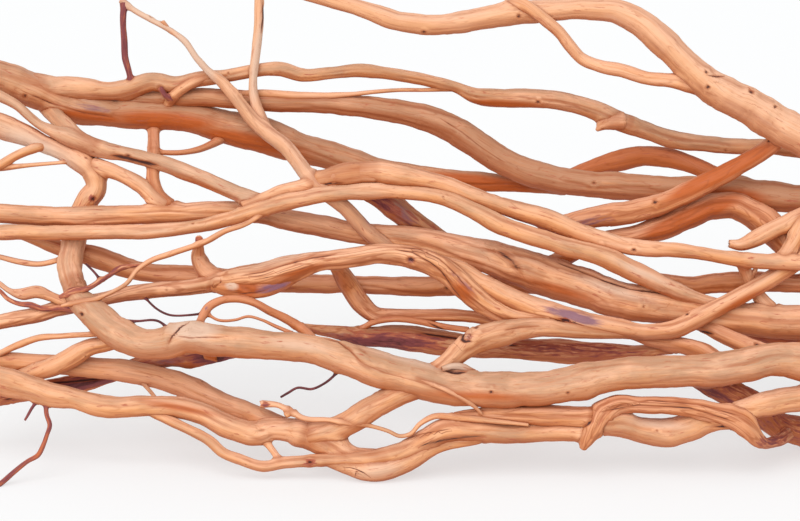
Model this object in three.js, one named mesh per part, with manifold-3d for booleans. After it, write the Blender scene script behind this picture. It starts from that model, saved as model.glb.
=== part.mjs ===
// A driftwood root: one weathered tangle of fused limbs, rootlets and broken stubs, grown as one piece.
// Millimetres, +Z up, +X along its length, the front towards -Y.
import * as THREE from "three";
import { mergeVertices } from "three/addons/utils/BufferGeometryUtils.js";
import Module from "manifold-3d";

const wasm = await Module();
wasm.setup();

// Driving dimensions. The limbs are laid out in one tilted front plane, FRONT_WIDTH wide.
const FRONT_WIDTH = 800;
const FRONT_HEIGHT = 521;
// The front plane leans back by this angle, and is seen from this far away.
const LEAN_DEG = 15;
const EYE_DISTANCE = 2600;
// Height of the front plane's middle above the floor, and the shift that centres the piece.
const MIDDLE_HEIGHT = 187.5;
const CENTRE_X = 34.99;
const CENTRE_Y = -21.985;
// How round the limbs are made: the thickness steps and the sides at each.
const THIN_RADIUS = 4;
const HAIR_RADIUS = 2.4;
const LIMB_SIDES = 6;
const THIN_SIDES = 4;
const HAIR_SIDES = 3;
// Stations nearer than this many radii to the last ring are passed over.
const CLOSEST_RINGS = 2.3;
// How far a limb's end swells past its last station, as a share of its radius.
const CAP_SHARE = 0.55;
const FLOOR_SLAB = 120;

// Each limb is a run of stations: across, down, depth behind the front plane, radius.
const LIMBS = [
  // The upper left: the old trunk and what lies along it.
  ["old_trunk", [
    [-48, 68, 38, 13], [-30, 72, 40, 19], [0, 80, 42, 18], [40, 92, 44, 17], [80, 108, 48, 16],
    [110, 113, 50, 14], [150, 115, 53, 15], [190, 118, 56, 15], [230, 127, 60, 17], [265, 137, 62, 18],
    [300, 148, 64, 15], [330, 155, 66, 14], [365, 166, 68, 12], [400, 172, 70, 10], [440, 178, 72, 9.5],
    [480, 181, 72, 9.5], [520, 184, 72, 8.5], [560, 188, 66, 7],
  ]],
  ["upper_back_limb", [
    [-14, 77, 42, 12], [14, 82, 41, 13], [44, 87, 40, 12.5], [80, 89, 39, 11], [110, 91, 38, 9],
    [130, 88, 37, 9], [150, 82, 36, 9], [175, 84, 36, 8], [200, 79, 36, 7.5], [230, 75.5, 37, 6.5],
    [255, 71, 38, 6.5], [280, 69, 39, 7], [300, 74.5, 40, 7], [330, 73, 40, 6], [360, 70.5, 40, 6.5],
    [400, 75.5, 40, 6], [430, 81, 41, 6], [455, 87, 42, 5.5], [475, 95, 42, 7.5], [500, 98, 43, 9],
    [540, 99, 44, 9.5], [570, 103, 46, 9], [595, 110, 48, 9.5], [620, 121, 50, 9], [645, 130, 54, 9],
    [670, 139, 58, 9], [700, 143.5, 58, 8], [740, 146, 50, 8], [775, 147, 36, 8], [820, 152, 14, 9],
  ]],
  ["back_middle_limb", [
    [126, 98, 46, 5], [150, 98, 46, 6], [180, 97, 47, 9], [220, 98, 47, 9], [260, 101, 48, 10],
    [300, 103, 49, 10], [350, 105, 50, 10], [400, 112, 50, 12], [440, 123, 50, 13], [470, 140, 51, 14],
    [500, 159, 52, 13.5], [530, 172, 51, 14], [560, 181, 50, 12.5], [590, 184, 48, 13],
    [620, 186, 46, 13.5], [660, 188, 44, 12.5], [700, 189, 42, 13], [740, 193, 38, 14],
    [770, 196, 32, 15], [800, 198, 24, 14], [850, 206, 8, 16],
  ]],
  ["upper_strand", [
    [218, 96, 43, 3], [260, 94, 42, 4.5], [300, 96, 42, 4], [350, 94, 42, 2.5], [400, 90, 42, 2],
    [430, 90, 42, 2], [458, 89, 42, 2.5],
  ]],
  ["forked_limb", [
    [122, 0, 20, 3], [133, 9, 20, 3], [150, 19, 18, 3], [170, 30, 16, 3], [185, 41, 16, 3.5],
    [197, 58, 18, 3.5], [210, 72, 22, 4], [222, 82, 26, 5.5], [232, 93, 27, 6], [242, 106, 28, 6.5],
    [255, 122, 28, 7], [268, 133, 24, 7.5], [285, 147, 8, 7.5], [300, 165, -20, 7.5],
    [313, 181, -46, 8], [328, 195, -47, 8], [346, 209, -40, 7], [360, 224, -33, 7.5],
    [372, 236, -30, 7.5], [386, 246, -24, 6], [397, 252, -12, 4.5],
  ]],
  ["forked_limb_stub", [[168, 29, 16, 2.4], [163, 21.5, 15, 1.8]]],
  ["down_twig", [
    [124, 3, 20, 3.5], [123, 20, 22, 3.2], [124, 40, 25, 3.2], [125, 58, 28, 3.2], [129, 72, 31, 3],
    [132, 84, 34, 3],
  ]],
  ["upright_twig", [
    [262, -26, 27, 2.4], [260, -14, 28, 4], [259, 4, 29, 4.5], [259, 25, 29, 4.8], [257, 45, 29, 4.5],
    [255, 62, 29, 4.5], [253, 78, 29, 4], [253, 92, 30, 4.5], [256, 105, 30, 5.5], [260, 115, 31, 5.5],
    [266, 126, 33, 5],
  ]],
  ["snapped_side_twig", [
    [208, 77, 34, 4.5], [190, 84, 31, 5], [177, 93, 33, 5], [169, 103, 43, 4.5], [166, 111, 54, 4],
  ]],
  ["bark_spur", [[172, 99, 34, 2.6], [165, 95, 30, 2.6], [160, 88, 28, 1.8]]],
  ["blunt_stub", [[622, 121, 47, 9], [608, 123, 47, 7.2], [600, 127, 46, 4], [597, 130, 46, 2]]],
  // The left side: limbs that leave the trunk and bend down.
  ["left_bend", [
    [-50, 114, 12, 8], [-30, 119, 12, 13], [0, 126, 12, 12.5], [24, 134, 11, 10.5],
    [43, 143.5, 10, 8.8], [60, 150.5, 9, 9.2], [78, 160, 7, 10.5], [92, 172, 5, 11], [96, 188, 5, 10.5],
    [88, 199, 6, 11], [80, 215, 7, 11], [75, 235, 4, 12], [72, 250, -3, 12.5], [70, 265, -14, 12.5],
    [72, 280, -27, 11], [76, 294, -40, 12],
  ]],
  ["olive_limb", [
    [-32, 84, 15, 6], [0, 96, 14, 5.5], [16, 105, 12, 5], [29, 116, 9, 4.6], [40, 125, 6, 4.6],
    [52, 131, 3, 6], [65, 136, 0, 8], [85, 143, -1, 9], [105, 150, -3, 8], [130, 155, -4, 7.5],
    [160, 163, -6, 8], [200, 178, -16, 8], [230, 190, -28, 8], [250, 198, -36, 8], [270, 205, -41, 6],
  ]],
  ["olive_side_limb", [
    [38, 99, 54, 6], [48, 110, 45, 7.5], [58, 119, 30, 8.3], [68, 129, 13, 8.3], [80, 139, 1, 8],
    [95, 146, -3, 7],
  ]],
  ["left_loop", [
    [-28, 180, 0, 4], [0, 165, 0, 5], [15, 156, 0, 4.5], [33, 149, 2, 4.5], [46, 146, 7, 4.5],
    [57, 149, 11, 4.5],
  ]],
  ["left_loop_strand", [
    [-16, 170, 2, 1.8], [0, 168, 2, 3], [30, 165, 2, 2.2], [60, 162.5, 3, 2], [76, 161, 4, 2],
  ]],
  ["drop_limb", [
    [155, 112, 60, 6], [154, 127, 53, 6], [154, 141, 38, 6], [154, 153, 19, 6], [153, 166, 0, 6],
    [153, 181, -5, 6.5], [157, 195, -8, 8], [168, 206, -12, 8],
  ]],
  ["cross_limb", [
    [94, 166, 2, 8], [120, 174, -3, 7.5], [140, 185, -7, 8], [155, 198, -10, 8], [165, 206, -12, 8],
  ]],
  ["cross_twig", [
    [154, 152, 18, 3], [180, 152.5, 22, 2.8], [198, 149.5, 32, 3.2], [212, 144, 45, 4],
    [224, 138, 56, 5], [238, 133, 62, 6],
  ]],
  // The long limbs that cross the middle from end to end.
  ["middle_limb", [
    [-60, 211, -9, 6], [-40, 212, -10, 10], [0, 213, -10, 10], [50, 217, -10, 10],
    [100, 216, -11, 10.5], [150, 214, -11, 10], [200, 212, -11, 10], [250, 212, -11, 10],
    [300, 222, -12, 10.5], [335, 229, -13, 11], [370, 235, -15, 11], [410, 238, -16, 12],
    [450, 246, -18, 14], [480, 255, -19, 17], [520, 267, -20, 19], [560, 280, -21, 19.5],
    [600, 292.5, -22, 19.5], [640, 304, -22, 17.5], [680, 309, -21, 16], [720, 315, -20, 16.5],
    [760, 320, -17, 16], [800, 322, -14, 17], [850, 318, -8, 22],
  ]],
  ["front_strand", [
    [-52, 236, -20, 5], [-30, 234, -20, 8], [0, 232, -20, 8], [50, 233, -20, 7.5], [100, 232.5, -21, 7.5],
    [150, 231, -23, 7.5], [200, 226, -28, 7], [230, 219, -36, 7.5], [260, 210, -46, 8], [300, 199, -55, 8],
    [340, 193.5, -55, 7], [370, 192.5, -54, 7.5], [400, 192.5, -53, 6.5], [440, 197, -53, 7.5],
    [470, 209, -54, 8.5], [500, 225, -58, 9.5], [530, 236, -60, 9.5], [560, 245, -58, 9.5],
    [600, 255, -52, 10], [640, 275, -43, 10.5], [670, 288, -36, 9], [700, 299, -31, 6], [716, 303, -28, 5],
  ]],
  ["front_long_limb", [
    [246, 207, -40, 5], [280, 192, -46, 7], [305, 186, -46, 8], [320, 181, -45, 9], [340, 175, -45, 11],
    [370, 173, -45, 12], [400, 176, -45, 12], [430, 182, -45, 10], [460, 192, -45, 10], [490, 202, -45, 9],
    [520, 211, -45, 10], [550, 221, -45, 10.5], [580, 233, -44, 9.5], [610, 242, -42, 9],
    [640, 248, -40, 8.5], [680, 250, -40, 7], [720, 257, -40, 7], [760, 261, -40, 8], [800, 263, -36, 7.5],
    [850, 266, -18, 11],
  ]],
  ["broken_lip", [[319, 180.5, -46, 9.6], [345, 175.5, -45.5, 11.2], [374, 173.5, -45, 11]]],
  ["barked_limb", [
    [344, 180, -26, 9], [385, 200, -18, 11], [405, 214, -9, 11], [430, 232, 3, 10], [452, 246, 8, 8],
  ]],
  ["far_arch", [
    [540, 182, 68, 6], [560, 179, 74, 7], [585, 169, 80, 7], [615, 161, 80, 10], [650, 156, 78, 10],
    [685, 162, 72, 9.5], [710, 172, 64, 8], [740, 184, 50, 8],
  ]],
  ["crossing_limb", [
    [800, 124, -24, 10], [785, 135, -16, 9], [765, 150, -8, 9], [740, 165, -2, 9.5], [700, 187, 4, 10.5],
    [660, 204, 2, 11.5], [630, 212, 0, 12], [600, 216, -6, 11], [570, 222, -18, 9], [545, 227, -32, 8],
  ]],
  ["low_arch", [
    [540, 272, -16, 9], [575, 252, -6, 9], [605, 240, 4, 9], [640, 234, 10, 10], [665, 227, 14, 12.5],
    [690, 215, 18, 13], [715, 206, 22, 13], [735, 206, 22, 13], [755, 216, 16, 14], [774, 231, 8, 14.5],
    [790, 250, 2, 12], [835, 268, -9, 16],
  ]],
  ["snapped_twig", [
    [730, 244, -22, 4], [738, 245, -22, 5.5], [755, 239, -20, 8], [775, 229, -16, 8.5],
    [800, 217, -10, 9], [850, 208, 0, 12],
  ]],
  ["short_link", [[802, 222, -14, 8], [790, 248, -24, 8], [783, 259, -34, 7]]],
  // The upper right: the heavy limb that climbs out over the top, and its branch.
  ["top_limb", [
    [862, 174, -6, 24], [830, 153, -18, 20], [800, 136, -25, 19], [770, 119, -30, 19],
    [740, 102, -36, 18], [710, 85, -40, 16.5], [690, 67, -40, 15], [665, 44, -38, 14.8],
    [645, 26, -36, 14], [620, 13, -34, 12.5], [590, 9, -32, 11], [550, 10, -30, 11], [510, 14, -29, 12],
    [480, 19, -28, 11.5], [440, 24.5, -26, 10.5], [400, 21.5, -24, 10], [370, 11.5, -22, 9],
    [340, 3, -20, 8], [310, -5, -18, 7], [284, -11, -16, 4],
  ]],
  ["top_branch", [
    [514, 1, -34, 5], [525, 5, -41, 5.5], [535, 12, -43, 5.8], [546, 21, -40, 6], [560, 33, -33, 6],
    [570, 46, -28, 6], [580, 57, -24, 6], [600, 66, -25, 6.5], [620, 70, -27, 7], [645, 78, -30, 7],
    [675, 81, -36, 8], [702, 86, -40, 10],
  ]],
  // The right-hand crown, where the long limbs come together.
  ["crown", [
    [846, 126, -12, 17], [864, 160, -4, 28], [876, 205, 2, 36], [880, 255, -4, 40], [876, 305, -12, 40],
    [866, 350, -28, 37], [856, 390, -34, 30], [848, 425, -22, 22], [838, 446, -4, 14],
  ]],
  ["crown_spur", [[884, 235, 0, 28], [906, 222, 6, 19], [924, 206, 10, 9]]],
  // The middle left and the middle: limbs that weave behind and in front.
  ["hanging_rootlet", [
    [264, 213, -50, 2.4], [245, 224, -54, 2.7], [225, 231, -53, 3], [205, 242, -48, 3],
    [188, 248, -45, 3], [170, 254, -44, 3], [150, 261, -44, 3], [137, 270, -46, 2.6],
    [127, 283, -50, 2.3], [112, 292, -57, 2.1], [95, 299, -63, 2], [80, 302, -61, 2],
    [62, 306, -50, 1.7],
  ]],
  ["knobbed_root", [
    [199, 238, -42, 3.2], [199, 247, -34, 4.6], [198, 256, -27, 7.4], [202, 267, -27, 9],
    [213, 276, -33, 9.5], [235, 280, -44, 8],
  ]],
  ["left_whisker", [
    [-30, 250, 0, 2], [0, 257, 0, 2.5], [20, 262, -1, 3], [40, 264, -3, 2.7], [58, 260, -8, 2.5],
    [70, 255, -10, 2],
  ]],
  ["back_lower_limb", [
    [22, 237, 12, 3], [34, 240, 13, 5], [60, 248, 15, 8], [95, 257, 18, 11], [130, 269, 18, 10],
    [165, 274, 16, 10], [210, 278, 14, 11], [260, 282, 12, 11], [300, 283, 9, 10], [340, 284, 7, 9],
    [400, 286, 8, 10], [440, 286, 8, 10.5], [480, 284, 6, 10], [520, 285, 0, 8], [548, 288, -10, 7],
  ]],
  ["burled_limb", [
    [-52, 338, -13, 4], [-36, 334, -15, 7], [0, 322, -18, 7.5], [35, 315, -20, 8], [70, 306, -18, 8],
    [105, 299, -16, 7], [130, 294, -18, 8], [160, 290, -20, 8], [190, 287, -26, 8], [215, 283, -36, 9],
    [240, 280, -48, 14], [270, 277, -55, 16], [290, 270, -58, 14], [320, 261, -60, 10], [350, 257, -60, 10],
    [380, 254, -60, 10], [410, 257, -60, 11], [435, 265, -60, 11], [452, 276, -60, 11], [467, 290, -59, 11],
    [482, 303, -58, 10], [500, 313, -58, 8.5], [522, 319, -58, 6.5], [548, 322, -57, 4],
  ]],
  ["burl_lobe", [
    [214, 287, -42, 5], [228, 289, -50, 7.5], [246, 289.5, -55, 9], [264, 287.5, -59, 9],
    [282, 282.5, -60, 8], [298, 275, -58, 5],
  ]],
  ["inner_bend", [
    [336, 264, -46, 8], [350, 287, -11, 10], [361, 303, -9, 10], [373, 314, -9, 8], [395, 315, -9, 6.5],
    [430, 315, -12, 6], [465, 316, -20, 6], [500, 322, -38, 6], [532, 328, -54, 5],
  ]],
  ["inner_strand", [
    [360, 328, -12, 2], [378, 321, -14, 3], [395, 319, -15, 3], [420, 322, -15, 3], [440, 326, -17, 3],
    [468, 330, -20, 3],
  ]],
  ["dark_red_limb", [
    [298, 327, -52, 4], [330, 331, -28, 6], [360, 336, -8, 9], [400, 338, 4, 12], [440, 342, 8, 12.5],
    [480, 347, 8, 10], [520, 349, 6, 10], [560, 351, 4, 12], [600, 352, -4, 10], [640, 352, -16, 7],
    [672, 349, -26, 6],
  ]],
  ["arched_rootlet", [
    [199, 326, -78, 4], [203, 316, -72, 4], [208, 308, -68, 4.5], [220, 301, -66, 4],
    [238, 299, -65, 4], [255, 303, -64, 4], [270, 311, -62, 4], [285, 318, -58, 4.5],
    [300, 327, -56, 4.5], [314, 340, -76, 4.5],
  ]],
  ["fine_rootlet", [
    [206, 313, -70, 1.5], [218, 320, -73, 1.5], [235, 320, -74, 1.5], [248, 316.5, -74, 1.5],
    [262, 320, -74, 1.5], [275, 326, -77, 1.8], [292, 333, -82, 2],
  ]],
  ["dark_hair_root", [
    [206, 313, -70, 1.3], [190, 315, -62, 1.2], [170, 315, -50, 1.2], [157, 309, -36, 1.2],
    [145, 298, -22, 1.2],
  ]],
  ["surface_hair_root", [
    [172, 331, -82, 1.5], [158, 321, -82, 1.3], [138, 321, -76, 1.3], [126, 321, -70, 1.8],
  ]],
  ["hanging_hair_root", [
    [342, 368, -90, 1.4], [325, 383, -88, 1.3], [312, 389, -86, 1.3], [297, 388, -83, 1.3],
    [288, 393, -80, 1.3], [281, 397, -78, 1.2],
  ]],
  ["over_limb", [
    [438, 260, -58, 6], [460, 270, -50, 9], [480, 283, -49, 10], [500, 295, -50, 11],
    [525, 305, -50, 12], [550, 312, -50, 10.5], [580, 321, -48, 10.5], [620, 328, -45, 9.5],
    [650, 332, -44, 8], [673, 330, -44, 9], [700, 317, -44, 9], [730, 301, -40, 8.5],
    [760, 285, -33, 8.5], [783, 271, -27, 8.5], [804, 258, -20, 8], [845, 246, -8, 12],
  ]],
  ["knotted_fork", [
    [640, 335, -45, 3], [608, 334, -49, 5], [574, 331, -55, 7], [540, 328, -62, 9],
    [505, 333, -68, 12.5], [480, 339, -74, 13], [462, 350, -80, 11], [445, 366, -86, 11],
    [425, 382, -90, 12], [397, 395, -88, 11], [370, 410, -82, 12], [342, 426, -74, 13],
    [312, 435, -66, 14],
  ]],
  ["grey_stub", [
    [472, 372, -84, 4], [462, 366.5, -94, 3.6], [452, 366, -99, 3.2], [442, 368.5, -101, 2.2],
  ]],
  // The big front limb.
  ["front_limb", [
    [74, 286, -32, 11], [78, 297, -44, 12], [95, 313, -56, 15], [120, 334, -70, 16], [145, 345, -80, 15],
    [165, 343, -85, 15.5], [188, 337, -88, 17], [215, 340, -90, 16], [250, 343, -90, 15],
    [290, 347, -90, 14.5], [320, 352, -90, 15.5], [350, 360, -90, 17], [385, 370, -90, 18],
    [420, 380, -90, 19], [450, 387, -90, 18.5], [500, 390, -90, 17.5], [550, 386, -90, 17.5],
    [580, 382, -90, 18], [610, 376, -90, 16], [650, 372, -90, 16.5], [690, 371, -88, 16.5],
    [740, 366, -82, 17], [775, 360, -75, 17], [800, 362, -68, 19], [845, 362, -48, 24],
  ]],
  ["light_rootlet", [
    [418, 379, -106, 1.2], [450, 392, -107, 2], [468, 402, -102, 2.2], [477, 409, -96, 1.8],
    [483, 416, -89, 1.3],
  ]],
  // The lower left.
  ["thin_left_root", [
    [-30, 364, -29, 2.2], [0, 353, -32, 3], [18, 345, -36, 4], [38, 338, -42, 3.5], [65, 336, -50, 3],
    [100, 334, -58, 3], [116, 333, -64, 3],
  ]],
  ["over_root", [
    [16, 377, -34, 5], [45, 370, -40, 9], [70, 358, -42, 10], [90, 347, -44, 9], [110, 343, -48, 8],
    [125, 336, -56, 8],
  ]],
  ["lower_left_limb", [
    [-54, 363, -21, 5], [-36, 362, -22, 9], [0, 361, -24, 9], [40, 363, -26, 9], [80, 367, -26, 10.5],
    [120, 370, -28, 11], [160, 378, -30, 11], [190, 388, -34, 12], [220, 402, -40, 11], [250, 413, -46, 10],
    [282, 426, -56, 9],
  ]],
  ["lower_front_limb", [
    [-62, 368, -53, 8], [-40, 373, -55, 14], [0, 382, -57, 15], [20, 386, -58, 13.5], [50, 394, -60, 12],
    [75, 399, -60, 10.5], [100, 406, -61, 11], [125, 407, -62, 10.5], [150, 406, -62, 10.5],
    [180, 408, -63, 10.5], [205, 415, -64, 11], [235, 429, -64, 12], [258, 434, -64, 12],
    [272, 431, -64, 10], [300, 433, -64, 14], [325, 441, -66, 14], [350, 456, -71, 11], [384, 460, -76, 11],
  ]],
  ["knuckle_link", [[264, 440, -66, 3.5], [272, 450, -70, 3.5], [280, 461, -75, 3.5]]],
  ["small_link", [[140, 380, -31, 2], [150, 391, -42, 2], [158, 401, -55, 2]]],
  ["lowest_front_limb", [
    [146, 411, -62, 3], [168, 420, -66, 4.5], [190, 430, -70, 5], [210, 441, -74, 5.5],
    [222, 452, -76, 5.5], [240, 459, -76, 5.5], [262, 466, -76, 5.5], [285, 463, -76, 5.5],
    [310, 461, -77, 6], [340, 460, -78, 7], [375, 458, -78, 9], [400, 453, -79, 10],
    [425, 441, -80, 12], [445, 431, -82, 13], [475, 431, -82, 12], [510, 433, -82, 10],
    [545, 432, -82, 9.5], [588, 433, -83, 9],
  ]],
  ["foot_bulge", [
    [326, 462, -78, 4], [346, 466, -77, 8], [375, 470.5, -76, 12.5], [404, 463, -78, 11],
    [432, 449, -82, 7], [480, 439, -84, 5],
  ]],
  ["under_limb", [
    [455, 415, -88, 3], [480, 414, -86, 6], [510, 414, -85, 8], [550, 415, -86, 9.5],
    [592, 417, -88, 9],
  ]],
  ["front_twig", [
    [262, 404, -70, 4], [278, 405, -74, 3], [290, 411, -78, 3.5], [303, 418, -82, 3],
    [330, 420, -85, 2.5], [352, 424, -86, 2.5], [370, 426, -86, 2.2], [388, 431, -86, 2.2],
    [400, 436, -86, 2.2], [410, 434, -87, 2.3], [420, 424, -88, 2.5], [432, 417, -89, 3],
    [460, 418, -91, 3], [500, 422, -92, 2.4], [528, 425, -91, 1.4],
  ]],
  ["front_twig_stub", [[292, 410, -78, 3], [286, 416, -80, 2.4]]],
  // The lower right.
  ["fluted_arch", [
    [583, 448, -86, 3.6], [588, 438, -89, 6.5], [594, 425, -90, 8.7], [602, 412, -90, 10],
    [614, 405, -90, 8.8], [640, 404.5, -90, 8.3], [680, 406, -90, 8], [710, 411, -90, 9],
    [733, 419, -90, 10.3], [746, 428, -88, 10.5], [755, 438, -83, 8.6], [764, 443, -70, 5.8],
    [777, 441, -46, 5.5], [788, 435, -20, 6.5],
  ]],
  ["swollen_root", [
    [604, 424, -84, 12], [620, 424, -80, 13.5], [641, 430, -75, 13], [667, 433, -73, 15],
    [686, 427.5, -74, 14.5], [704, 422, -79, 13], [720, 420.5, -83, 11], [737, 421, -86, 9],
  ]],
  ["pale_right_root", [
    [735, 409, -86, 7], [760, 406, -80, 12], [785, 400, -73, 13], [800, 398, -67, 13],
    [848, 390, -46, 19],
  ]],
  ["dark_right_root", [
    [690, 372, -78, 11], [720, 388, -56, 13], [750, 404, -30, 15], [780, 425, -2, 14], [800, 432, 10, 14.5],
    [830, 444, 14, 13], [850, 440, 8, 12],
  ]],
  ["dark_left_root", [
    [-40, 407, -4, 3.5], [-26, 404, -5, 6], [0, 400, -6, 6], [40, 390, -8, 9], [80, 383, -8, 9],
    [120, 371, -9, 9], [160, 360, -18, 9], [200, 356, -40, 10], [235, 350, -62, 8], [258, 347, -76, 7],
  ]],
  ["ochre_stub", [[206, 352, -58, 5], [217, 355, -62, 5.2]]],
  ["gnarled_twig", [
    [-18, 268, -18, 1.6], [0, 284, -20, 2.5], [10, 291, -21, 3], [22, 294, -22, 6], [38, 292, -23, 6.5],
    [52, 297, -24, 5], [67, 303, -26, 5],
  ]],
  ["under_twig", [
    [-10, 284, -26, 1.8], [0, 291, -26, 2], [8, 299, -28, 2.2], [20, 304, -29, 2.4], [30, 305, -30, 3],
    [40, 308, -30, 2.6], [60, 308, -33, 3], [80, 311, -44, 3],
  ]],
  ["barked_twig", [
    [60, 297, -50, 2], [75, 291, -54, 2.6], [88, 288, -53, 2.6], [100, 281, -45, 2.6],
    [110, 275, -38, 2.3], [118, 269, -32, 3], [130, 266, -28, 2.2], [142, 264.5, -25, 1.4],
  ]],
  ["black_hair_root", [[86, 264, -40, 1.2], [95, 273, -42, 1.2], [101, 281, -44, 1.4]]],
  // The right middle.
  ["right_back_limb", [
    [648, 278, -32, 6], [662, 280, -14, 6], [690, 285, -2, 9], [720, 283, 2, 10], [755, 282, 2, 10],
    [800, 283, 0, 9], [850, 284, -6, 12],
  ]],
  ["right_link", [[740, 258, -38, 6], [747, 275, -24, 6], [755, 290, -20, 7], [770, 308, -18, 7]]],
  ["right_link_stub", [[750, 280, -24, 3], [756, 269, -28, 2]]],
  ["under_bridge", [
    [628, 333, -38, 4], [650, 340, -34, 6], [680, 345, -36, 8], [705, 352, -50, 9], [716, 360, -66, 8],
  ]],
  ["dark_strip_root", [[736, 330, -10, 4], [765, 337, -6, 6], [800, 339, -6, 6], [848, 338, -8, 9]]],
  ["right_low_link", [
    [702, 326, -28, 6], [730, 338, -36, 8], [755, 348, -42, 8], [785, 355, -50, 8], [840, 352, -40, 12],
  ]],
  // Thin roots at the lower left that reach the floor.
  ["floor_rootlet", [
    [46, 398, -62, 2.5], [47, 415, -66, 2.3], [50, 425, -70, 2.5], [47, 435, -74, 2.3],
    [43, 446, -77, 2.5], [38, 455, -80, 2.6], [28, 461, -82, 2.4], [14, 472, -86, 2.6],
    [0, 484, -90, 2.6], [-12, 491, -104, 2.2],
  ]],
  ["short_rootlet", [[40, 398, -62, 1.6], [32, 408, -64, 1.5], [28, 415, -65, 1.4], [25, 420, -66, 1.2]]],
  // Two roots behind that reach down to the floor.
  ["back_left_foot", [
    [188, 386, -32, 10], [189, 389, 0, 10.5], [191, 391, 36, 10.5], [193, 394, 76, 11],
    [191, 396, 112, 11.5], [188, 400, 140, 12],
  ]],
  ["back_right_foot", [
    [500, 391, -84, 12], [501, 396, -50, 11], [503, 399, -12, 11], [502, 402, 30, 11.5], [498, 404, 72, 12],
    [497, 405, 104, 12], [500, 405, 128, 12],
  ]],
];

const lean = THREE.MathUtils.degToRad(LEAN_DEG);
const along = new THREE.Vector3(1, 0, 0);
const upward = new THREE.Vector3(0, Math.sin(lean), Math.cos(lean));
const inward = new THREE.Vector3(0, Math.cos(lean), -Math.sin(lean));

// The place of one station, and its radius, once its depth is allowed for.
function place([across, down, depth, radius]) {
  const spread = 1 + depth / EYE_DISTANCE;
  const at = new THREE.Vector3(-CENTRE_X, -CENTRE_Y, MIDDLE_HEIGHT)
    .addScaledVector(along, (across - FRONT_WIDTH / 2) * spread)
    .addScaledVector(upward, (FRONT_HEIGHT / 2 - down) * spread)
    .addScaledVector(inward, depth);
  return { at, radius: radius * spread };
}

// The rings of one limb: its first and last stations, and those between that don't crowd each other.
function ringsOf(stations) {
  const placed = stations.map(place);
  const last = placed[placed.length - 1];
  const rings = [placed[0]];
  for (const p of placed.slice(1, -1)) {
    const room = CLOSEST_RINGS * p.radius;
    const clear = p.at.distanceTo(rings[rings.length - 1].at) >= room;
    if (clear && p.at.distanceTo(last.at) >= room / 2) rings.push(p);
  }
  rings.push(last);
  return rings;
}

function sidesFor(radius) {
  if (radius > THIN_RADIUS) return LIMB_SIDES;
  return radius > HAIR_RADIUS ? THIN_SIDES : HAIR_SIDES;
}

// One limb as a closed skin: a ring of corners at each station, and a point at each end.
function limbSolid(stations) {
  const rings = ringsOf(stations);
  const sides = sidesFor(Math.max(...rings.map((ring) => ring.radius)));
  // Corners stand a little out, so that the flats between them keep the mean thickness.
  const stretch = 2 / (1 + Math.cos(Math.PI / sides));
  const positions = [];
  const faces = [];
  const heading = rings.map((_, i) => {
    const before = rings[Math.max(i - 1, 0)].at;
    const after = rings[Math.min(i + 1, rings.length - 1)].at;
    return after.clone().sub(before).normalize();
  });
  let side = new THREE.Vector3(0, 0, 1).cross(heading[0]);
  if (side.length() < 0.1) side = new THREE.Vector3(1, 0, 0);
  rings.forEach((ring, i) => {
    side.addScaledVector(heading[i], -side.dot(heading[i])).normalize();
    const third = heading[i].clone().cross(side);
    for (let k = 0; k < sides; k += 1) {
      const turn = (2 * Math.PI * k) / sides;
      const corner = ring.at.clone()
        .addScaledVector(side, Math.cos(turn) * ring.radius * stretch)
        .addScaledVector(third, Math.sin(turn) * ring.radius * stretch);
      positions.push(...corner.toArray());
    }
  });
  const last = rings.length - 1;
  const start = rings[0].at.clone().addScaledVector(heading[0], -CAP_SHARE * rings[0].radius);
  const end = rings[last].at.clone().addScaledVector(heading[last], CAP_SHARE * rings[last].radius);
  positions.push(...start.toArray(), ...end.toArray());
  const startPoint = rings.length * sides;
  const endPoint = startPoint + 1;
  for (let k = 0; k < sides; k += 1) {
    const next = (k + 1) % sides;
    faces.push(startPoint, next, k, endPoint, last * sides + k, last * sides + next);
    for (let i = 0; i < last; i += 1) {
      const near = i * sides;
      const far = near + sides;
      faces.push(near + k, near + next, far + next, near + k, far + next, far + k);
    }
  }
  const skin = new THREE.BufferGeometry();
  skin.setAttribute("position", new THREE.Float32BufferAttribute(positions, 3));
  skin.setIndex(faces);
  return solidOf(skin);
}

function solidOf(skin) {
  const bare = skin.clone();
  bare.deleteAttribute("normal");
  bare.deleteAttribute("uv");
  const merged = mergeVertices(bare, 1e-4);
  return new wasm.Manifold(new wasm.Mesh({
    numProp: 3,
    vertProperties: merged.attributes.position.array,
    triVerts: new Uint32Array(merged.index.array),
  }));
}

// All limbs fuse where they touch. Everything under the floor is worn flat, which leaves the resting spots.
const fused = wasm.Manifold.union(LIMBS.map(([, stations]) => limbSolid(stations)));
const floorBox = new THREE.BoxGeometry(4 * FRONT_WIDTH, 4 * FRONT_WIDTH, FLOOR_SLAB);
floorBox.translate(0, 0, -FLOOR_SLAB / 2);
const rested = fused.subtract(solidOf(floorBox));

const mesh = rested.getMesh();
const geometry = new THREE.BufferGeometry();
geometry.setAttribute("position", new THREE.BufferAttribute(mesh.vertProperties, 3));
geometry.setIndex(new THREE.BufferAttribute(mesh.triVerts, 1));
geometry.computeVertexNormals();

const wood = new THREE.MeshStandardMaterial({ color: 0xc98a5a, roughness: 0.75 });
const root = new THREE.Mesh(geometry, wood);
root.name = "driftwood_root";

const part = new THREE.Group();
part.name = "driftwood_root_part";
part.add(root);
export default part;
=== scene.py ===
# %% [markdown]
# # A driftwood root
# A root that water has stripped and worn smooth: limbs that cross, touch and have grown into each
# other, a few dark rootlets, knots, and patches of old bark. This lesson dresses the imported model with
# fine wood. Every limb is drawn as a long skin of rings, because wood grain runs along a limb, so a
# mesh whose rows run the same way can carry grooves, ridges and knots in its shape.

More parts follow.
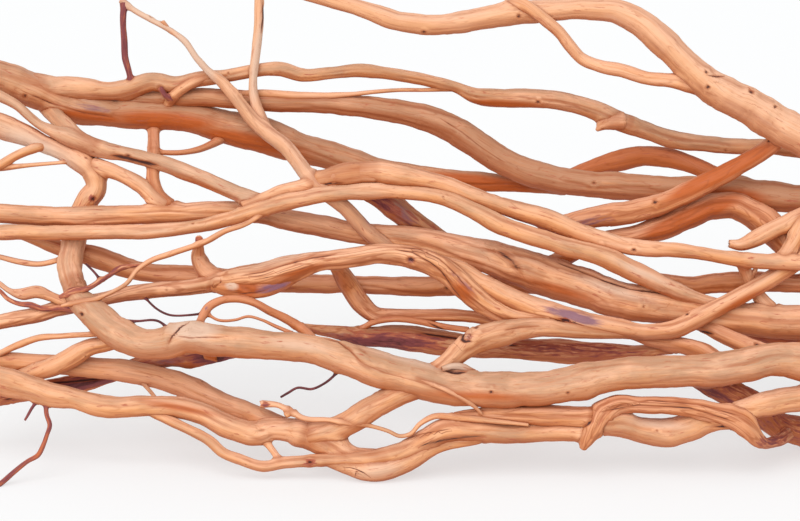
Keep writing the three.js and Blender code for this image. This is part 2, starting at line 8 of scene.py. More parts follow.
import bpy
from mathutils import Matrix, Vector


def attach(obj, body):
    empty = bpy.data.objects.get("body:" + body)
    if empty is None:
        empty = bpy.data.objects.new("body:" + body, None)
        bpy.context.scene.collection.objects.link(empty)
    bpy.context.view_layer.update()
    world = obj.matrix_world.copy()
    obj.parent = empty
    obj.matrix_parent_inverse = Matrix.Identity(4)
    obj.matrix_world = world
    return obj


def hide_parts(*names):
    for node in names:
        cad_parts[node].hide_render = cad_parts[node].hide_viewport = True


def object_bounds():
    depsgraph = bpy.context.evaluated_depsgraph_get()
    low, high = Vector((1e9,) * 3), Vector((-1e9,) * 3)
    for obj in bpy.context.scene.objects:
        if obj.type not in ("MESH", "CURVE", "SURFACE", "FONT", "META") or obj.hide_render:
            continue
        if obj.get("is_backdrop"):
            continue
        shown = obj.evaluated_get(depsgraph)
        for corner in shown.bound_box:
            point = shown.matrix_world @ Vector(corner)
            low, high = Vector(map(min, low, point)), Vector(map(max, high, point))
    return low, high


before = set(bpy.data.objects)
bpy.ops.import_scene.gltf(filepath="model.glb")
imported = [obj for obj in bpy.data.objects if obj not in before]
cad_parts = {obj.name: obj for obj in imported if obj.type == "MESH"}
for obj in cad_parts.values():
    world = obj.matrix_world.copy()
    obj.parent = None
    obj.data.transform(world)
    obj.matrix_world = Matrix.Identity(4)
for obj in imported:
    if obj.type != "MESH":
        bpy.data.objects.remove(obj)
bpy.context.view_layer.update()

# %% Tools of the trade
import math
import bpy
import numpy as np

MM = 0.001
TINY = 1e-6

# %% [markdown]
# The limbs are laid out in one tilted front plane, as wide as the part of the root that the camera
# sees. The same values as in the part's own source place them: the lean of the plane, the distance of
# the eye, the height of its middle above the floor, and the shift that centres the piece.

# %% The sizes that place every limb
FRONT_WIDTH = 800
FRONT_HEIGHT = 521
LEAN_DEG = 15
EYE_DISTANCE = 2600
MIDDLE_HEIGHT = 187.5
CENTRE_X = 34.99
CENTRE_Y = -21.985
lean = math.radians(LEAN_DEG)
along = np.array([1.0, 0.0, 0.0])
upward = np.array([0.0, math.sin(lean), math.cos(lean)])
inward = np.array([0.0, math.cos(lean), -math.sin(lean)])
middle = np.array([-CENTRE_X, -CENTRE_Y, MIDDLE_HEIGHT])
print("the front plane leans", LEAN_DEG, "degrees and the eye is", EYE_DISTANCE, "mm away")


def place(stations):
    """Centres and radii, in millimetres, of stations given as across, down, depth and radius."""
    across, down, depth, radius = np.array(stations, float).T
    spread = 1 + depth / EYE_DISTANCE
    points = middle + np.outer((across - FRONT_WIDTH / 2) * spread, along)
    points = points + np.outer((FRONT_HEIGHT / 2 - down) * spread, upward) + np.outer(depth, inward)
    return points, radius * spread


def seen_from_front(points):
    """Across and down in the front plane of points in millimetres."""
    offset = points - middle
    spread = 1 + offset @ inward / EYE_DISTANCE
    return FRONT_WIDTH / 2 + offset @ along / spread, FRONT_HEIGHT / 2 - offset @ upward / spread

# %% [markdown]
# Each limb is a run of stations: across, down, depth behind the front plane, and radius. They are kept
# in groups, and each group becomes one piece of the scene.

# %% The limbs
def limb_table(text):
    """Stations or marks of each limb, from text such as name: 1 2 3 4, 5 6 7 8; for each limb."""
    table = {}
    for entry in text.split(";")[:-1]:
        name, run = entry.split(":")
        table[name.strip()] = [[float(value) for value in at.split()] for at in run.split(",")]
    return table


LIMBS = {}

# The upper left: the old trunk and what lies along it.
LIMBS["upper_left_limbs"] = limb_table("""
old_trunk: -48 68 38 13, -30 72 40 19, 0 80 42 18, 40 92 44 17, 80 108 48 16, 110 113 50 14, 150 115 53 15,
    190 118 56 15, 230 127 60 17, 265 137 62 18, 300 148 64 15, 330 155 66 14, 365 166 68 12,
    400 172 70 10, 440 178 72 9.5, 480 181 72 9.5, 520 184 72 8.5, 560 188 66 7;
upper_back_limb: -14 77 42 12, 14 82 41 13, 44 87 40 12.5, 80 89 39 11, 110 91 38 9, 130 88 37 9,
    150 82 36 9, 175 84 36 8, 200 79 36 7.5, 230 75.5 37 6.5, 255 71 38 6.5, 280 69 39 7, 300 74.5 40 7,
    330 73 40 6, 360 70.5 40 6.5, 400 75.5 40 6, 430 81 41 6, 455 87 42 5.5, 475 95 42 7.5, 500 98 43 9,
    540 99 44 9.5, 570 103 46 9, 595 110 48 9.5, 620 121 50 9, 645 130 54 9, 670 139 58 9, 700 143.5 58 8,
    740 146 50 8, 775 147 36 8, 820 152 14 9;
back_middle_limb: 126 98 46 5, 150 98 46 6, 180 97 47 9, 220 98 47 9, 260 101 48 10, 300 103 49 10,
    350 105 50 10, 400 112 50 12, 440 123 50 13, 470 140 51 14, 500 159 52 13.5, 530 172 51 14,
    560 181 50 12.5, 590 184 48 13, 620 186 46 13.5, 660 188 44 12.5, 700 189 42 13, 740 193 38 14,
    770 196 32 15, 800 198 24 14, 850 206 8 16;
upper_strand: 218 96 43 3, 260 94 42 4.5, 300 96 42 4, 350 94 42 2.5, 400 90 42 2, 430 90 42 2,
    458 89 42 2.5;
forked_limb: 122 0 20 3, 133 9 20 3, 150 19 18 3, 170 30 16 3, 185 41 16 3.5, 197 58 18 3.5, 210 72 22 4,
    222 82 26 5.5, 232 93 27 6, 242 106 28 6.5, 255 122 28 7, 268 133 24 7.5, 285 147 8 7.5,
    300 165 -20 7.5, 313 181 -46 8, 328 195 -47 8, 346 209 -40 7, 360 224 -33 7.5, 372 236 -30 7.5,
    386 246 -24 6, 397 252 -12 4.5;
forked_limb_stub: 168 29 16 2.4, 163 21.5 15 1.8;
down_twig: 124 3 20 3.5, 123 20 22 3.2, 124 40 25 3.2, 125 58 28 3.2, 129 72 31 3, 132 84 34 3;
upright_twig: 262 -26 27 2.4, 260 -14 28 4, 259 4 29 4.5, 259 25 29 4.8, 257 45 29 4.5, 255 62 29 4.5,
    253 78 29 4, 253 92 30 4.5, 256 105 30 5.5, 260 115 31 5.5, 266 126 33 5;
snapped_side_twig: 208 77 34 4.5, 190 84 31 5, 177 93 33 5, 169 103 43 4.5, 166 111 54 4;
bark_spur: 172 99 34 2.6, 165 95 30 2.6, 160 88 28 1.8;
blunt_stub: 622 121 47 9, 608 123 47 7.2, 600 127 46 4, 597 130 46 2;
""")

# The left side: limbs that leave the trunk and bend down.
LIMBS["left_side_limbs"] = limb_table("""
left_bend: -50 114 12 8, -30 119 12 13, 0 126 12 12.5, 24 134 11 10.5, 43 143.5 10 8.8, 60 150.5 9 9.2,
    78 160 7 10.5, 92 172 5 11, 96 188 5 10.5, 88 199 6 11, 80 215 7 11, 75 235 4 12, 72 250 -3 12.5,
    70 265 -14 12.5, 72 280 -27 11, 76 294 -40 12;
olive_limb: -32 84 15 6, 0 96 14 5.5, 16 105 12 5, 29 116 9 4.6, 40 125 6 4.6, 52 131 3 6, 65 136 0 8,
    85 143 -1 9, 105 150 -3 8, 130 155 -4 7.5, 160 163 -6 8, 200 178 -16 8, 230 190 -28 8, 250 198 -36 8,
    270 205 -41 6;
olive_side_limb: 38 99 54 6, 48 110 45 7.5, 58 119 30 8.3, 68 129 13 8.3, 80 139 1 8, 95 146 -3 7;
left_loop: -28 180 0 4, 0 165 0 5, 15 156 0 4.5, 33 149 2 4.5, 46 146 7 4.5, 57 149 11 4.5;
left_loop_strand: -16 170 2 1.8, 0 168 2 3, 30 165 2 2.2, 60 162.5 3 2, 76 161 4 2;
drop_limb: 155 112 60 6, 154 127 53 6, 154 141 38 6, 154 153 19 6, 153 166 0 6, 153 181 -5 6.5,
    157 195 -8 8, 168 206 -12 8;
cross_limb: 94 166 2 8, 120 174 -3 7.5, 140 185 -7 8, 155 198 -10 8, 165 206 -12 8;
cross_twig: 154 152 18 3, 180 152.5 22 2.8, 198 149.5 32 3.2, 212 144 45 4, 224 138 56 5, 238 133 62 6;
""")

# The long limbs that cross the middle from end to end.
LIMBS["long_limbs"] = limb_table("""
middle_limb: -60 211 -9 6, -40 212 -10 10, 0 213 -10 10, 50 217 -10 10, 100 216 -11 10.5, 150 214 -11 10,
    200 212 -11 10, 250 212 -11 10, 300 222 -12 10.5, 335 229 -13 11, 370 235 -15 11, 410 238 -16 12,
    450 246 -18 14, 480 255 -19 17, 520 267 -20 19, 560 280 -21 19.5, 600 292.5 -22 19.5, 640 304 -22 17.5,
    680 309 -21 16, 720 315 -20 16.5, 760 320 -17 16, 800 322 -14 17, 850 318 -8 22;
front_strand: -52 236 -20 5, -30 234 -20 8, 0 232 -20 8, 50 233 -20 7.5, 100 232.5 -21 7.5,
    150 231 -23 7.5, 200 226 -28 7, 230 219 -36 7.5, 260 210 -46 8, 300 199 -55 8, 340 193.5 -55 7,
    370 192.5 -54 7.5, 400 192.5 -53 6.5, 440 197 -53 7.5, 470 209 -54 8.5, 500 225 -58 9.5,
    530 236 -60 9.5, 560 245 -58 9.5, 600 255 -52 10, 640 275 -43 10.5, 670 288 -36 9, 700 299 -31 6,
    716 303 -28 5;
front_long_limb: 246 207 -40 5, 280 192 -46 7, 305 186 -46 8, 320 181 -45 9, 340 175 -45 11,
    370 173 -45 12, 400 176 -45 12, 430 182 -45 10, 460 192 -45 10, 490 202 -45 9, 520 211 -45 10,
    550 221 -45 10.5, 580 233 -44 9.5, 610 242 -42 9, 640 248 -40 8.5, 680 250 -40 7, 720 257 -40 7,
    760 261 -40 8, 800 263 -36 7.5, 850 266 -18 11;
broken_lip: 319 180.5 -46 9.6, 345 175.5 -45.5 11.2, 374 173.5 -45 11;
barked_limb: 344 180 -26 9, 385 200 -18 11, 405 214 -9 11, 430 232 3 10, 452 246 8 8;
far_arch: 540 182 68 6, 560 179 74 7, 585 169 80 7, 615 161 80 10, 650 156 78 10, 685 162 72 9.5,
    710 172 64 8, 740 184 50 8;
crossing_limb: 800 124 -24 10, 785 135 -16 9, 765 150 -8 9, 740 165 -2 9.5, 700 187 4 10.5, 660 204 2 11.5,
    630 212 0 12, 600 216 -6 11, 570 222 -18 9, 545 227 -32 8;
low_arch: 540 272 -16 9, 575 252 -6 9, 605 240 4 9, 640 234 10 10, 665 227 14 12.5, 690 215 18 13,
    715 206 22 13, 735 206 22 13, 755 216 16 14, 774 231 8 14.5, 790 250 2 12, 835 268 -9 16;
snapped_twig: 730 244 -22 4, 738 245 -22 5.5, 755 239 -20 8, 775 229 -16 8.5, 800 217 -10 9, 850 208 0 12;
short_link: 802 222 -14 8, 790 248 -24 8, 783 259 -34 7;
""")

# The upper right: the heavy limb that climbs out over the top, and its branch.
LIMBS["upper_right_limbs"] = limb_table("""
top_limb: 862 174 -6 24, 830 153 -18 20, 800 136 -25 19, 770 119 -30 19, 740 102 -36 18, 710 85 -40 16.5,
    690 67 -40 15, 665 44 -38 14.8, 645 26 -36 14, 620 13 -34 12.5, 590 9 -32 11, 550 10 -30 11,
    510 14 -29 12, 480 19 -28 11.5, 440 24.5 -26 10.5, 400 21.5 -24 10, 370 11.5 -22 9, 340 3 -20 8,
    310 -5 -18 7, 284 -11 -16 4;
top_branch: 514 1 -34 5, 525 5 -41 5.5, 535 12 -43 5.8, 546 21 -40 6, 560 33 -33 6, 570 46 -28 6,
    580 57 -24 6, 600 66 -25 6.5, 620 70 -27 7, 645 78 -30 7, 675 81 -36 8, 702 86 -40 10;
""")

# The right-hand crown, where the long limbs come together.
LIMBS["crown_limbs"] = limb_table("""
crown: 846 126 -12 17, 864 160 -4 28, 876 205 2 36, 880 255 -4 40, 876 305 -12 40, 866 350 -28 37,
    856 390 -34 30, 848 425 -22 22, 838 446 -4 14;
crown_spur: 884 235 0 28, 906 222 6 19, 924 206 10 9;
""")

# The middle left and the middle: limbs that weave behind and in front.
LIMBS["middle_limbs"] = limb_table("""
hanging_rootlet: 264 213 -50 2.4, 245 224 -54 2.7, 225 231 -53 3, 205 242 -48 3, 188 248 -45 3,
    170 254 -44 3, 150 261 -44 3, 137 270 -46 2.6, 127 283 -50 2.3, 112 292 -57 2.1, 95 299 -63 2,
    80 302 -61 2, 62 306 -50 1.7;
knobbed_root: 199 238 -42 3.2, 199 247 -34 4.6, 198 256 -27 7.4, 202 267 -27 9, 213 276 -33 9.5,
    235 280 -44 8;
left_whisker: -30 250 0 2, 0 257 0 2.5, 20 262 -1 3, 40 264 -3 2.7, 58 260 -8 2.5, 70 255 -10 2;
back_lower_limb: 22 237 12 3, 34 240 13 5, 60 248 15 8, 95 257 18 11, 130 269 18 10, 165 274 16 10,
    210 278 14 11, 260 282 12 11, 300 283 9 10, 340 284 7 9, 400 286 8 10, 440 286 8 10.5, 480 284 6 10,
    520 285 0 8, 548 288 -10 7;
burled_limb: -52 338 -13 4, -36 334 -15 7, 0 322 -18 7.5, 35 315 -20 8, 70 306 -18 8, 105 299 -16 7,
    130 294 -18 8, 160 290 -20 8, 190 287 -26 8, 215 283 -36 9, 240 280 -48 14, 270 277 -55 16,
    290 270 -58 14, 320 261 -60 10, 350 257 -60 10, 380 254 -60 10, 410 257 -60 11, 435 265 -60 11,
    452 276 -60 11, 467 290 -59 11, 482 303 -58 10, 500 313 -58 8.5, 522 319 -58 6.5, 548 322 -57 4;
burl_lobe: 214 287 -42 5, 228 289 -50 7.5, 246 289.5 -55 9, 264 287.5 -59 9, 282 282.5 -60 8,
    298 275 -58 5;
inner_bend: 336 264 -46 8, 350 287 -11 10, 361 303 -9 10, 373 314 -9 8, 395 315 -9 6.5, 430 315 -12 6,
    465 316 -20 6, 500 322 -38 6, 532 328 -54 5;
inner_strand: 360 328 -12 2, 378 321 -14 3, 395 319 -15 3, 420 322 -15 3, 440 326 -17 3, 468 330 -20 3;
dark_red_limb: 298 327 -52 4, 330 331 -28 6, 360 336 -8 9, 400 338 4 12, 440 342 8 12.5, 480 347 8 10,
    520 349 6 10, 560 351 4 12, 600 352 -4 10, 640 352 -16 7, 672 349 -26 6;
arched_rootlet: 199 326 -78 4, 203 316 -72 4, 208 308 -68 4.5, 220 301 -66 4, 238 299 -65 4, 255 303 -64 4,
    270 311 -62 4, 285 318 -58 4.5, 300 327 -56 4.5, 314 340 -76 4.5;
fine_rootlet: 206 313 -70 1.5, 218 320 -73 1.5, 235 320 -74 1.5, 248 316.5 -74 1.5, 262 320 -74 1.5,
    275 326 -77 1.8, 292 333 -82 2;
dark_hair_root: 206 313 -70 1.3, 190 315 -62 1.2, 170 315 -50 1.2, 157 309 -36 1.2, 145 298 -22 1.2;
surface_hair_root: 172 331 -82 1.5, 158 321 -82 1.3, 138 321 -76 1.3, 126 321 -70 1.8;
hanging_hair_root: 342 368 -90 1.4, 325 383 -88 1.3, 312 389 -86 1.3, 297 388 -83 1.3, 288 393 -80 1.3,
    281 397 -78 1.2;
over_limb: 438 260 -58 6, 460 270 -50 9, 480 283 -49 10, 500 295 -50 11, 525 305 -50 12, 550 312 -50 10.5,
    580 321 -48 10.5, 620 328 -45 9.5, 650 332 -44 8, 673 330 -44 9, 700 317 -44 9, 730 301 -40 8.5,
    760 285 -33 8.5, 783 271 -27 8.5, 804 258 -20 8, 845 246 -8 12;
knotted_fork: 640 335 -45 3, 608 334 -49 5, 574 331 -55 7, 540 328 -62 9, 505 333 -68 12.5, 480 339 -74 13,
    462 350 -80 11, 445 366 -86 11, 425 382 -90 12, 397 395 -88 11, 370 410 -82 12, 342 426 -74 13,
    312 435 -66 14;
grey_stub: 472 372 -84 4, 462 366.5 -94 3.6, 452 366 -99 3.2, 442 368.5 -101 2.2;
""")

# The big front limb.
LIMBS["front_limbs"] = limb_table("""
front_limb: 74 286 -32 11, 78 297 -44 12, 95 313 -56 15, 120 334 -70 16, 145 345 -80 15, 165 343 -85 15.5,
    188 337 -88 17, 215 340 -90 16, 250 343 -90 15, 290 347 -90 14.5, 320 352 -90 15.5, 350 360 -90 17,
    385 370 -90 18, 420 380 -90 19, 450 387 -90 18.5, 500 390 -90 17.5, 550 386 -90 17.5, 580 382 -90 18,
    610 376 -90 16, 650 372 -90 16.5, 690 371 -88 16.5, 740 366 -82 17, 775 360 -75 17, 800 362 -68 19,
    845 362 -48 24;
light_rootlet: 418 379 -106 1.2, 450 392 -107 2, 468 402 -102 2.2, 477 409 -96 1.8, 483 416 -89 1.3;
""")

# The lower left.
LIMBS["lower_left_limbs"] = limb_table("""
thin_left_root: -30 364 -29 2.2, 0 353 -32 3, 18 345 -36 4, 38 338 -42 3.5, 65 336 -50 3, 100 334 -58 3,
    116 333 -64 3;
over_root: 16 377 -34 5, 45 370 -40 9, 70 358 -42 10, 90 347 -44 9, 110 343 -48 8, 125 336 -56 8;
lower_left_limb: -54 363 -21 5, -36 362 -22 9, 0 361 -24 9, 40 363 -26 9, 80 367 -26 10.5, 120 370 -28 11,
    160 378 -30 11, 190 388 -34 12, 220 402 -40 11, 250 413 -46 10, 282 426 -56 9;
lower_front_limb: -62 368 -53 8, -40 373 -55 14, 0 382 -57 15, 20 386 -58 13.5, 50 394 -60 12,
    75 399 -60 10.5, 100 406 -61 11, 125 407 -62 10.5, 150 406 -62 10.5, 180 408 -63 10.5, 205 415 -64 11,
    235 429 -64 12, 258 434 -64 12, 272 431 -64 10, 300 433 -64 14, 325 441 -66 14, 350 456 -71 11,
    384 460 -76 11;
knuckle_link: 264 440 -66 3.5, 272 450 -70 3.5, 280 461 -75 3.5;
small_link: 140 380 -31 2, 150 391 -42 2, 158 401 -55 2;
lowest_front_limb: 146 411 -62 3, 168 420 -66 4.5, 190 430 -70 5, 210 441 -74 5.5, 222 452 -76 5.5,
    240 459 -76 5.5, 262 466 -76 5.5, 285 463 -76 5.5, 310 461 -77 6, 340 460 -78 7, 375 458 -78 9,
    400 453 -79 10, 425 441 -80 12, 445 431 -82 13, 475 431 -82 12, 510 433 -82 10, 545 432 -82 9.5,
    588 433 -83 9;
foot_bulge: 326 462 -78 4, 346 466 -77 8, 375 470.5 -76 12.5, 404 463 -78 11, 432 449 -82 7, 480 439 -84 5;
under_limb: 455 415 -88 3, 480 414 -86 6, 510 414 -85 8, 550 415 -86 9.5, 592 417 -88 9;
front_twig: 262 404 -70 4, 278 405 -74 3, 290 411 -78 3.5, 303 418 -82 3, 330 420 -85 2.5, 352 424 -86 2.5,
    370 426 -86 2.2, 388 431 -86 2.2, 400 436 -86 2.2, 410 434 -87 2.3, 420 424 -88 2.5, 432 417 -89 3,
    460 418 -91 3, 500 422 -92 2.4, 528 425 -91 1.4;
front_twig_stub: 292 410 -78 3, 286 416 -80 2.4;
""")

# The lower right.
LIMBS["lower_right_limbs"] = limb_table("""
fluted_arch: 583 448 -86 3.6, 588 438 -89 6.5, 594 425 -90 8.7, 602 412 -90 10, 614 405 -90 8.8,
    640 404.5 -90 8.3, 680 406 -90 8, 710 411 -90 9, 733 419 -90 10.3, 746 428 -88 10.5, 755 438 -83 8.6,
    764 443 -70 5.8, 777 441 -46 5.5, 788 435 -20 6.5;
swollen_root: 604 424 -84 12, 620 424 -80 13.5, 641 430 -75 13, 667 433 -73 15, 686 427.5 -74 14.5,
    704 422 -79 13, 720 420.5 -83 11, 737 421 -86 9;
pale_right_root: 735 409 -86 7, 760 406 -80 12, 785 400 -73 13, 800 398 -67 13, 848 390 -46 19;
dark_right_root: 690 372 -78 11, 720 388 -56 13, 750 404 -30 15, 780 425 -2 14, 800 432 10 14.5,
    830 444 14 13, 850 440 8 12;
dark_left_root: -40 407 -4 3.5, -26 404 -5 6, 0 400 -6 6, 40 390 -8 9, 80 383 -8 9, 120 371 -9 9,
    160 360 -18 9, 200 356 -40 10, 235 350 -62 8, 258 347 -76 7;
ochre_stub: 206 352 -58 5, 217 355 -62 5.2;
gnarled_twig: -18 268 -18 1.6, 0 284 -20 2.5, 10 291 -21 3, 22 294 -22 6, 38 292 -23 6.5, 52 297 -24 5,
    67 303 -26 5;
under_twig: -10 284 -26 1.8, 0 291 -26 2, 8 299 -28 2.2, 20 304 -29 2.4, 30 305 -30 3, 40 308 -30 2.6,
    60 308 -33 3, 80 311 -44 3;
barked_twig: 60 297 -50 2, 75 291 -54 2.6, 88 288 -53 2.6, 100 281 -45 2.6, 110 275 -38 2.3, 118 269 -32 3,
    130 266 -28 2.2, 142 264.5 -25 1.4;
black_hair_root: 86 264 -40 1.2, 95 273 -42 1.2, 101 281 -44 1.4;
""")

# The right middle.
LIMBS["right_middle_limbs"] = limb_table("""
right_back_limb: 648 278 -32 6, 662 280 -14 6, 690 285 -2 9, 720 283 2 10, 755 282 2 10, 800 283 0 9,
    850 284 -6 12;
right_link: 740 258 -38 6, 747 275 -24 6, 755 290 -20 7, 770 308 -18 7;
right_link_stub: 750 280 -24 3, 756 269 -28 2;
under_bridge: 628 333 -38 4, 650 340 -34 6, 680 345 -36 8, 705 352 -50 9, 716 360 -66 8;
dark_strip_root: 736 330 -10 4, 765 337 -6 6, 800 339 -6 6, 848 338 -8 9;
right_low_link: 702 326 -28 6, 730 338 -36 8, 755 348 -42 8, 785 355 -50 8, 840 352 -40 12;
""")

# Thin roots at the lower left that reach the floor.
LIMBS["floor_rootlets"] = limb_table("""
floor_rootlet: 46 398 -62 2.5, 47 415 -66 2.3, 50 425 -70 2.5, 47 435 -74 2.3, 43 446 -77 2.5,
    38 455 -80 2.6, 28 461 -82 2.4, 14 472 -86 2.6, 0 484 -90 2.6, -12 491 -104 2.2;
short_rootlet: 40 398 -62 1.6, 32 408 -64 1.5, 28 415 -65 1.4, 25 420 -66 1.2;
""")

# Two roots behind that reach down to the floor.
LIMBS["back_feet"] = limb_table("""
back_left_foot: 188 386 -32 10, 189 389 0 10.5, 191 391 36 10.5, 193 394 76 11, 191 396 112 11.5,
    188 400 140 12;
back_right_foot: 500 391 -84 12, 501 396 -50 11, 503 399 -12 11, 502 402 30 11.5, 498 404 72 12,
    497 405 104 12, 500 405 128 12;
""")
print(sum(len(group) for group in LIMBS.values()), "limbs in", len(LIMBS), "groups")

# %% [markdown]
# ## The path of a limb
# A limb bends softly between its stations, so its middle line is a cubic curve through them. The rings
# that stand on it must not twist against each other, or the grain would spin: each ring takes its
# side direction from the ring before it, turned only as far as the path turns.

# %% A soft curve through the stations
RING_STEP = 2.1
LEAST_RING_STEP = 1.2
LEAST_RINGS = 8
# Rings on thin limbs stand closer, and a curve may not swell far past its stations.
STEP_PER_RADIUS = 0.45
THINNEST, THICKEST = 0.9, 1.1


def soft_curve(stations):
    """Points, radii and lengths along one limb, at even steps."""
    points, radii = place(stations)
    values = np.column_stack([points, radii])
    chord = np.concatenate([[0], np.cumsum(np.linalg.norm(np.diff(points, axis=0), axis=1))])
    slope = np.gradient(values, chord, axis=0)
    step = max(LEAST_RING_STEP, min(RING_STEP, STEP_PER_RADIUS * radii.mean()))
    length = np.linspace(0, chord[-1], max(int(chord[-1] / step), LEAST_RINGS) + 1)
    span = np.clip(np.searchsorted(chord, length, side="right") - 1, 0, len(chord) - 2)
    gap = (chord[span + 1] - chord[span])[:, None]
    t = (length[:, None] - chord[span][:, None]) / gap
    a, b = values[span], values[span + 1]
    made = (2 * t**3 - 3 * t**2 + 1) * a + (t**3 - 2 * t**2 + t) * gap * slope[span]
    made = made + (3 * t**2 - 2 * t**3) * b + (t**3 - t**2) * gap * slope[span + 1]
    low, high = np.minimum(a, b)[:, 3], np.maximum(a, b)[:, 3]
    return made[:, :3], np.clip(made[:, 3], THINNEST * low, THICKEST * high), length


def side_directions(points):
    """Heading, side and third direction of each ring, with no twist from ring to ring."""
    heading = np.gradient(points, axis=0)
    heading /= np.linalg.norm(heading, axis=1)[:, None]
    side = np.cross(heading[0], [0.0, 0.0, 1.0])
    if np.linalg.norm(side) < 0.1:
        side = np.array([1.0, 0.0, 0.0])
    sides = []
    for direction in heading:
        side = side - direction * (side @ direction)
        side = side / np.linalg.norm(side)
        sides.append(side)
    sides = np.array(sides)
    return heading, sides, np.cross(heading, sides)


print("rings are", RING_STEP, "mm apart at most")

# %% [markdown]
# ## How worn wood is shaped
# A water-worn limb is never round. It swells and thins slowly, it carries shallow flutes that wind
# round it, and long open grooves where softer wood has washed out. All of these run with the grain. The
# functions below give the height of the surface over a plain round limb, in millimetres.

# %% Slow wander, flutes and grooves
# Shares of the wavelength that a slow line is made of, and what brings their sum back to about 1.
DRIFT_WAVES = (1.7, 1.0, 0.6, 0.37)
DRIFT_SPREAD = 2.2
# Flutes: how many round the limb with their strength, and how far they run in one turn.
FLUTE_LOBES = ((1, 0.5), (2, 1.0), (3, 0.8), (4, 0.55), (5, 0.45), (7, 0.3), (9, 0.22))
FLUTE_TURN_MM = (240, 700)
# Grooves: length times radius of limb for each one, and how long and wide they are.
SURFACE_PER_GROOVE = 420
GROOVE_RUN_MM = (60, 260)
GROOVE_WIDTH_MM = (0.8, 2.4)
# Fine ribs: how many sets lie over each other, and the gaps between ribs.
RIB_SETS = 7
RIB_GAP_MM = (3.5, 8.0)
# Sharp flutes: their widths in millimetres with their strength, and how far they run in one turn.
SHARP_WIDTHS = ((9.0, 1.0), (6.0, 0.8), (4.5, 0.5))
SHARP_TURN_MM = (150, 420)
SHARP_LEVEL = 0.62


def drift(rng, length, wave):
    """A slow random line along the limb, about -1 to 1, with the given wavelength in millimetres."""
    total = np.zeros_like(length)
    for share in DRIFT_WAVES:
        total += share**0.7 * np.sin(2 * math.pi * length / (wave * share) + rng.uniform(0, 2 * math.pi))
    return total / DRIFT_SPREAD


def flutes(rng, length, angle, radius, strength):
    """Broad hollows and ribs that wind slowly round the limb."""
    height = np.zeros((len(length), len(angle)))
    for lobes, share in FLUTE_LOBES:
        phase = rng.uniform(0, 2 * math.pi) + 0.9 * drift(rng, length, 330)
        phase = phase + length / rng.uniform(*FLUTE_TURN_MM)
        swell = share * (0.65 + 0.5 * drift(rng, length, 170))
        height += swell[:, None] * np.cos(lobes * angle[None, :] + phase[:, None])
    return strength * radius[:, None] * height


def grooves(rng, length, angle, radius, depth_share):
    """Long narrow hollows along the grain, each with a beginning and an end."""
    height = np.zeros((len(length), len(angle)))
    count = int(length[-1] * radius.mean() / SURFACE_PER_GROOVE) + 1
    for _ in range(count):
        start, run = rng.uniform(-30, length[-1]), rng.uniform(*GROOVE_RUN_MM)
        middle_angle = rng.uniform(0, 2 * math.pi) + 0.35 * drift(rng, length, 200)
        width = rng.uniform(*GROOVE_WIDTH_MM)
        depth = depth_share * rng.uniform(0.25, 1.0) * min(1.6, 0.11 * radius.mean())
        inside = np.clip((length - start) / run, 0, 1)
        fade = np.sin(math.pi * inside) ** 0.6
        away = (angle[None, :] - middle_angle[:, None] + math.pi) % (2 * math.pi) - math.pi
        height -= depth * fade[:, None] * np.exp(-(away * radius[:, None] / width) ** 2)
    return height


def fine_ribs(rng, length, angle, radius, height_mm):
    """Ribs a few millimetres apart, the mark of the yearly growth rings."""
    height = np.zeros((len(length), len(angle)))
    for _ in range(RIB_SETS):
        lobes = max(6, int(2 * math.pi * radius.mean() / rng.uniform(*RIB_GAP_MM)))
        phase = rng.uniform(0, 2 * math.pi) + 1.6 * drift(rng, length, 260)
        swell = np.clip(0.5 + 0.7 * drift(rng, length, 120), 0, 1.2)
        height += swell[:, None] * np.cos(lobes * angle[None, :] + phase[:, None])
    return height_mm * height / 2.6


def sharp_flutes(rng, length, angle, radius, height_mm):
    """Rounded ribs with narrow hollows between them, which run on, fade and join along the limb."""
    height = np.zeros((len(length), len(angle)))
    for width, share in SHARP_WIDTHS:
        lobes = max(4, round(math.pi * radius.mean() / width))
        phase = rng.uniform(0, math.pi) + 1.1 * drift(rng, length, 310)
        phase = phase + length / rng.uniform(*SHARP_TURN_MM)
        swell = np.clip(0.75 + 0.5 * drift(rng, length, 150), 0.15, 1.2) * share
        height += swell[:, None] * (np.abs(np.sin(lobes * angle[None, :] + phase[:, None])) ** 0.7 - 0.72)
    return SHARP_LEVEL * height_mm * height


print(len(FLUTE_LOBES), "sets of flutes,", RIB_SETS, "of fine ribs,", len(SHARP_WIDTHS), "of sharp flutes")
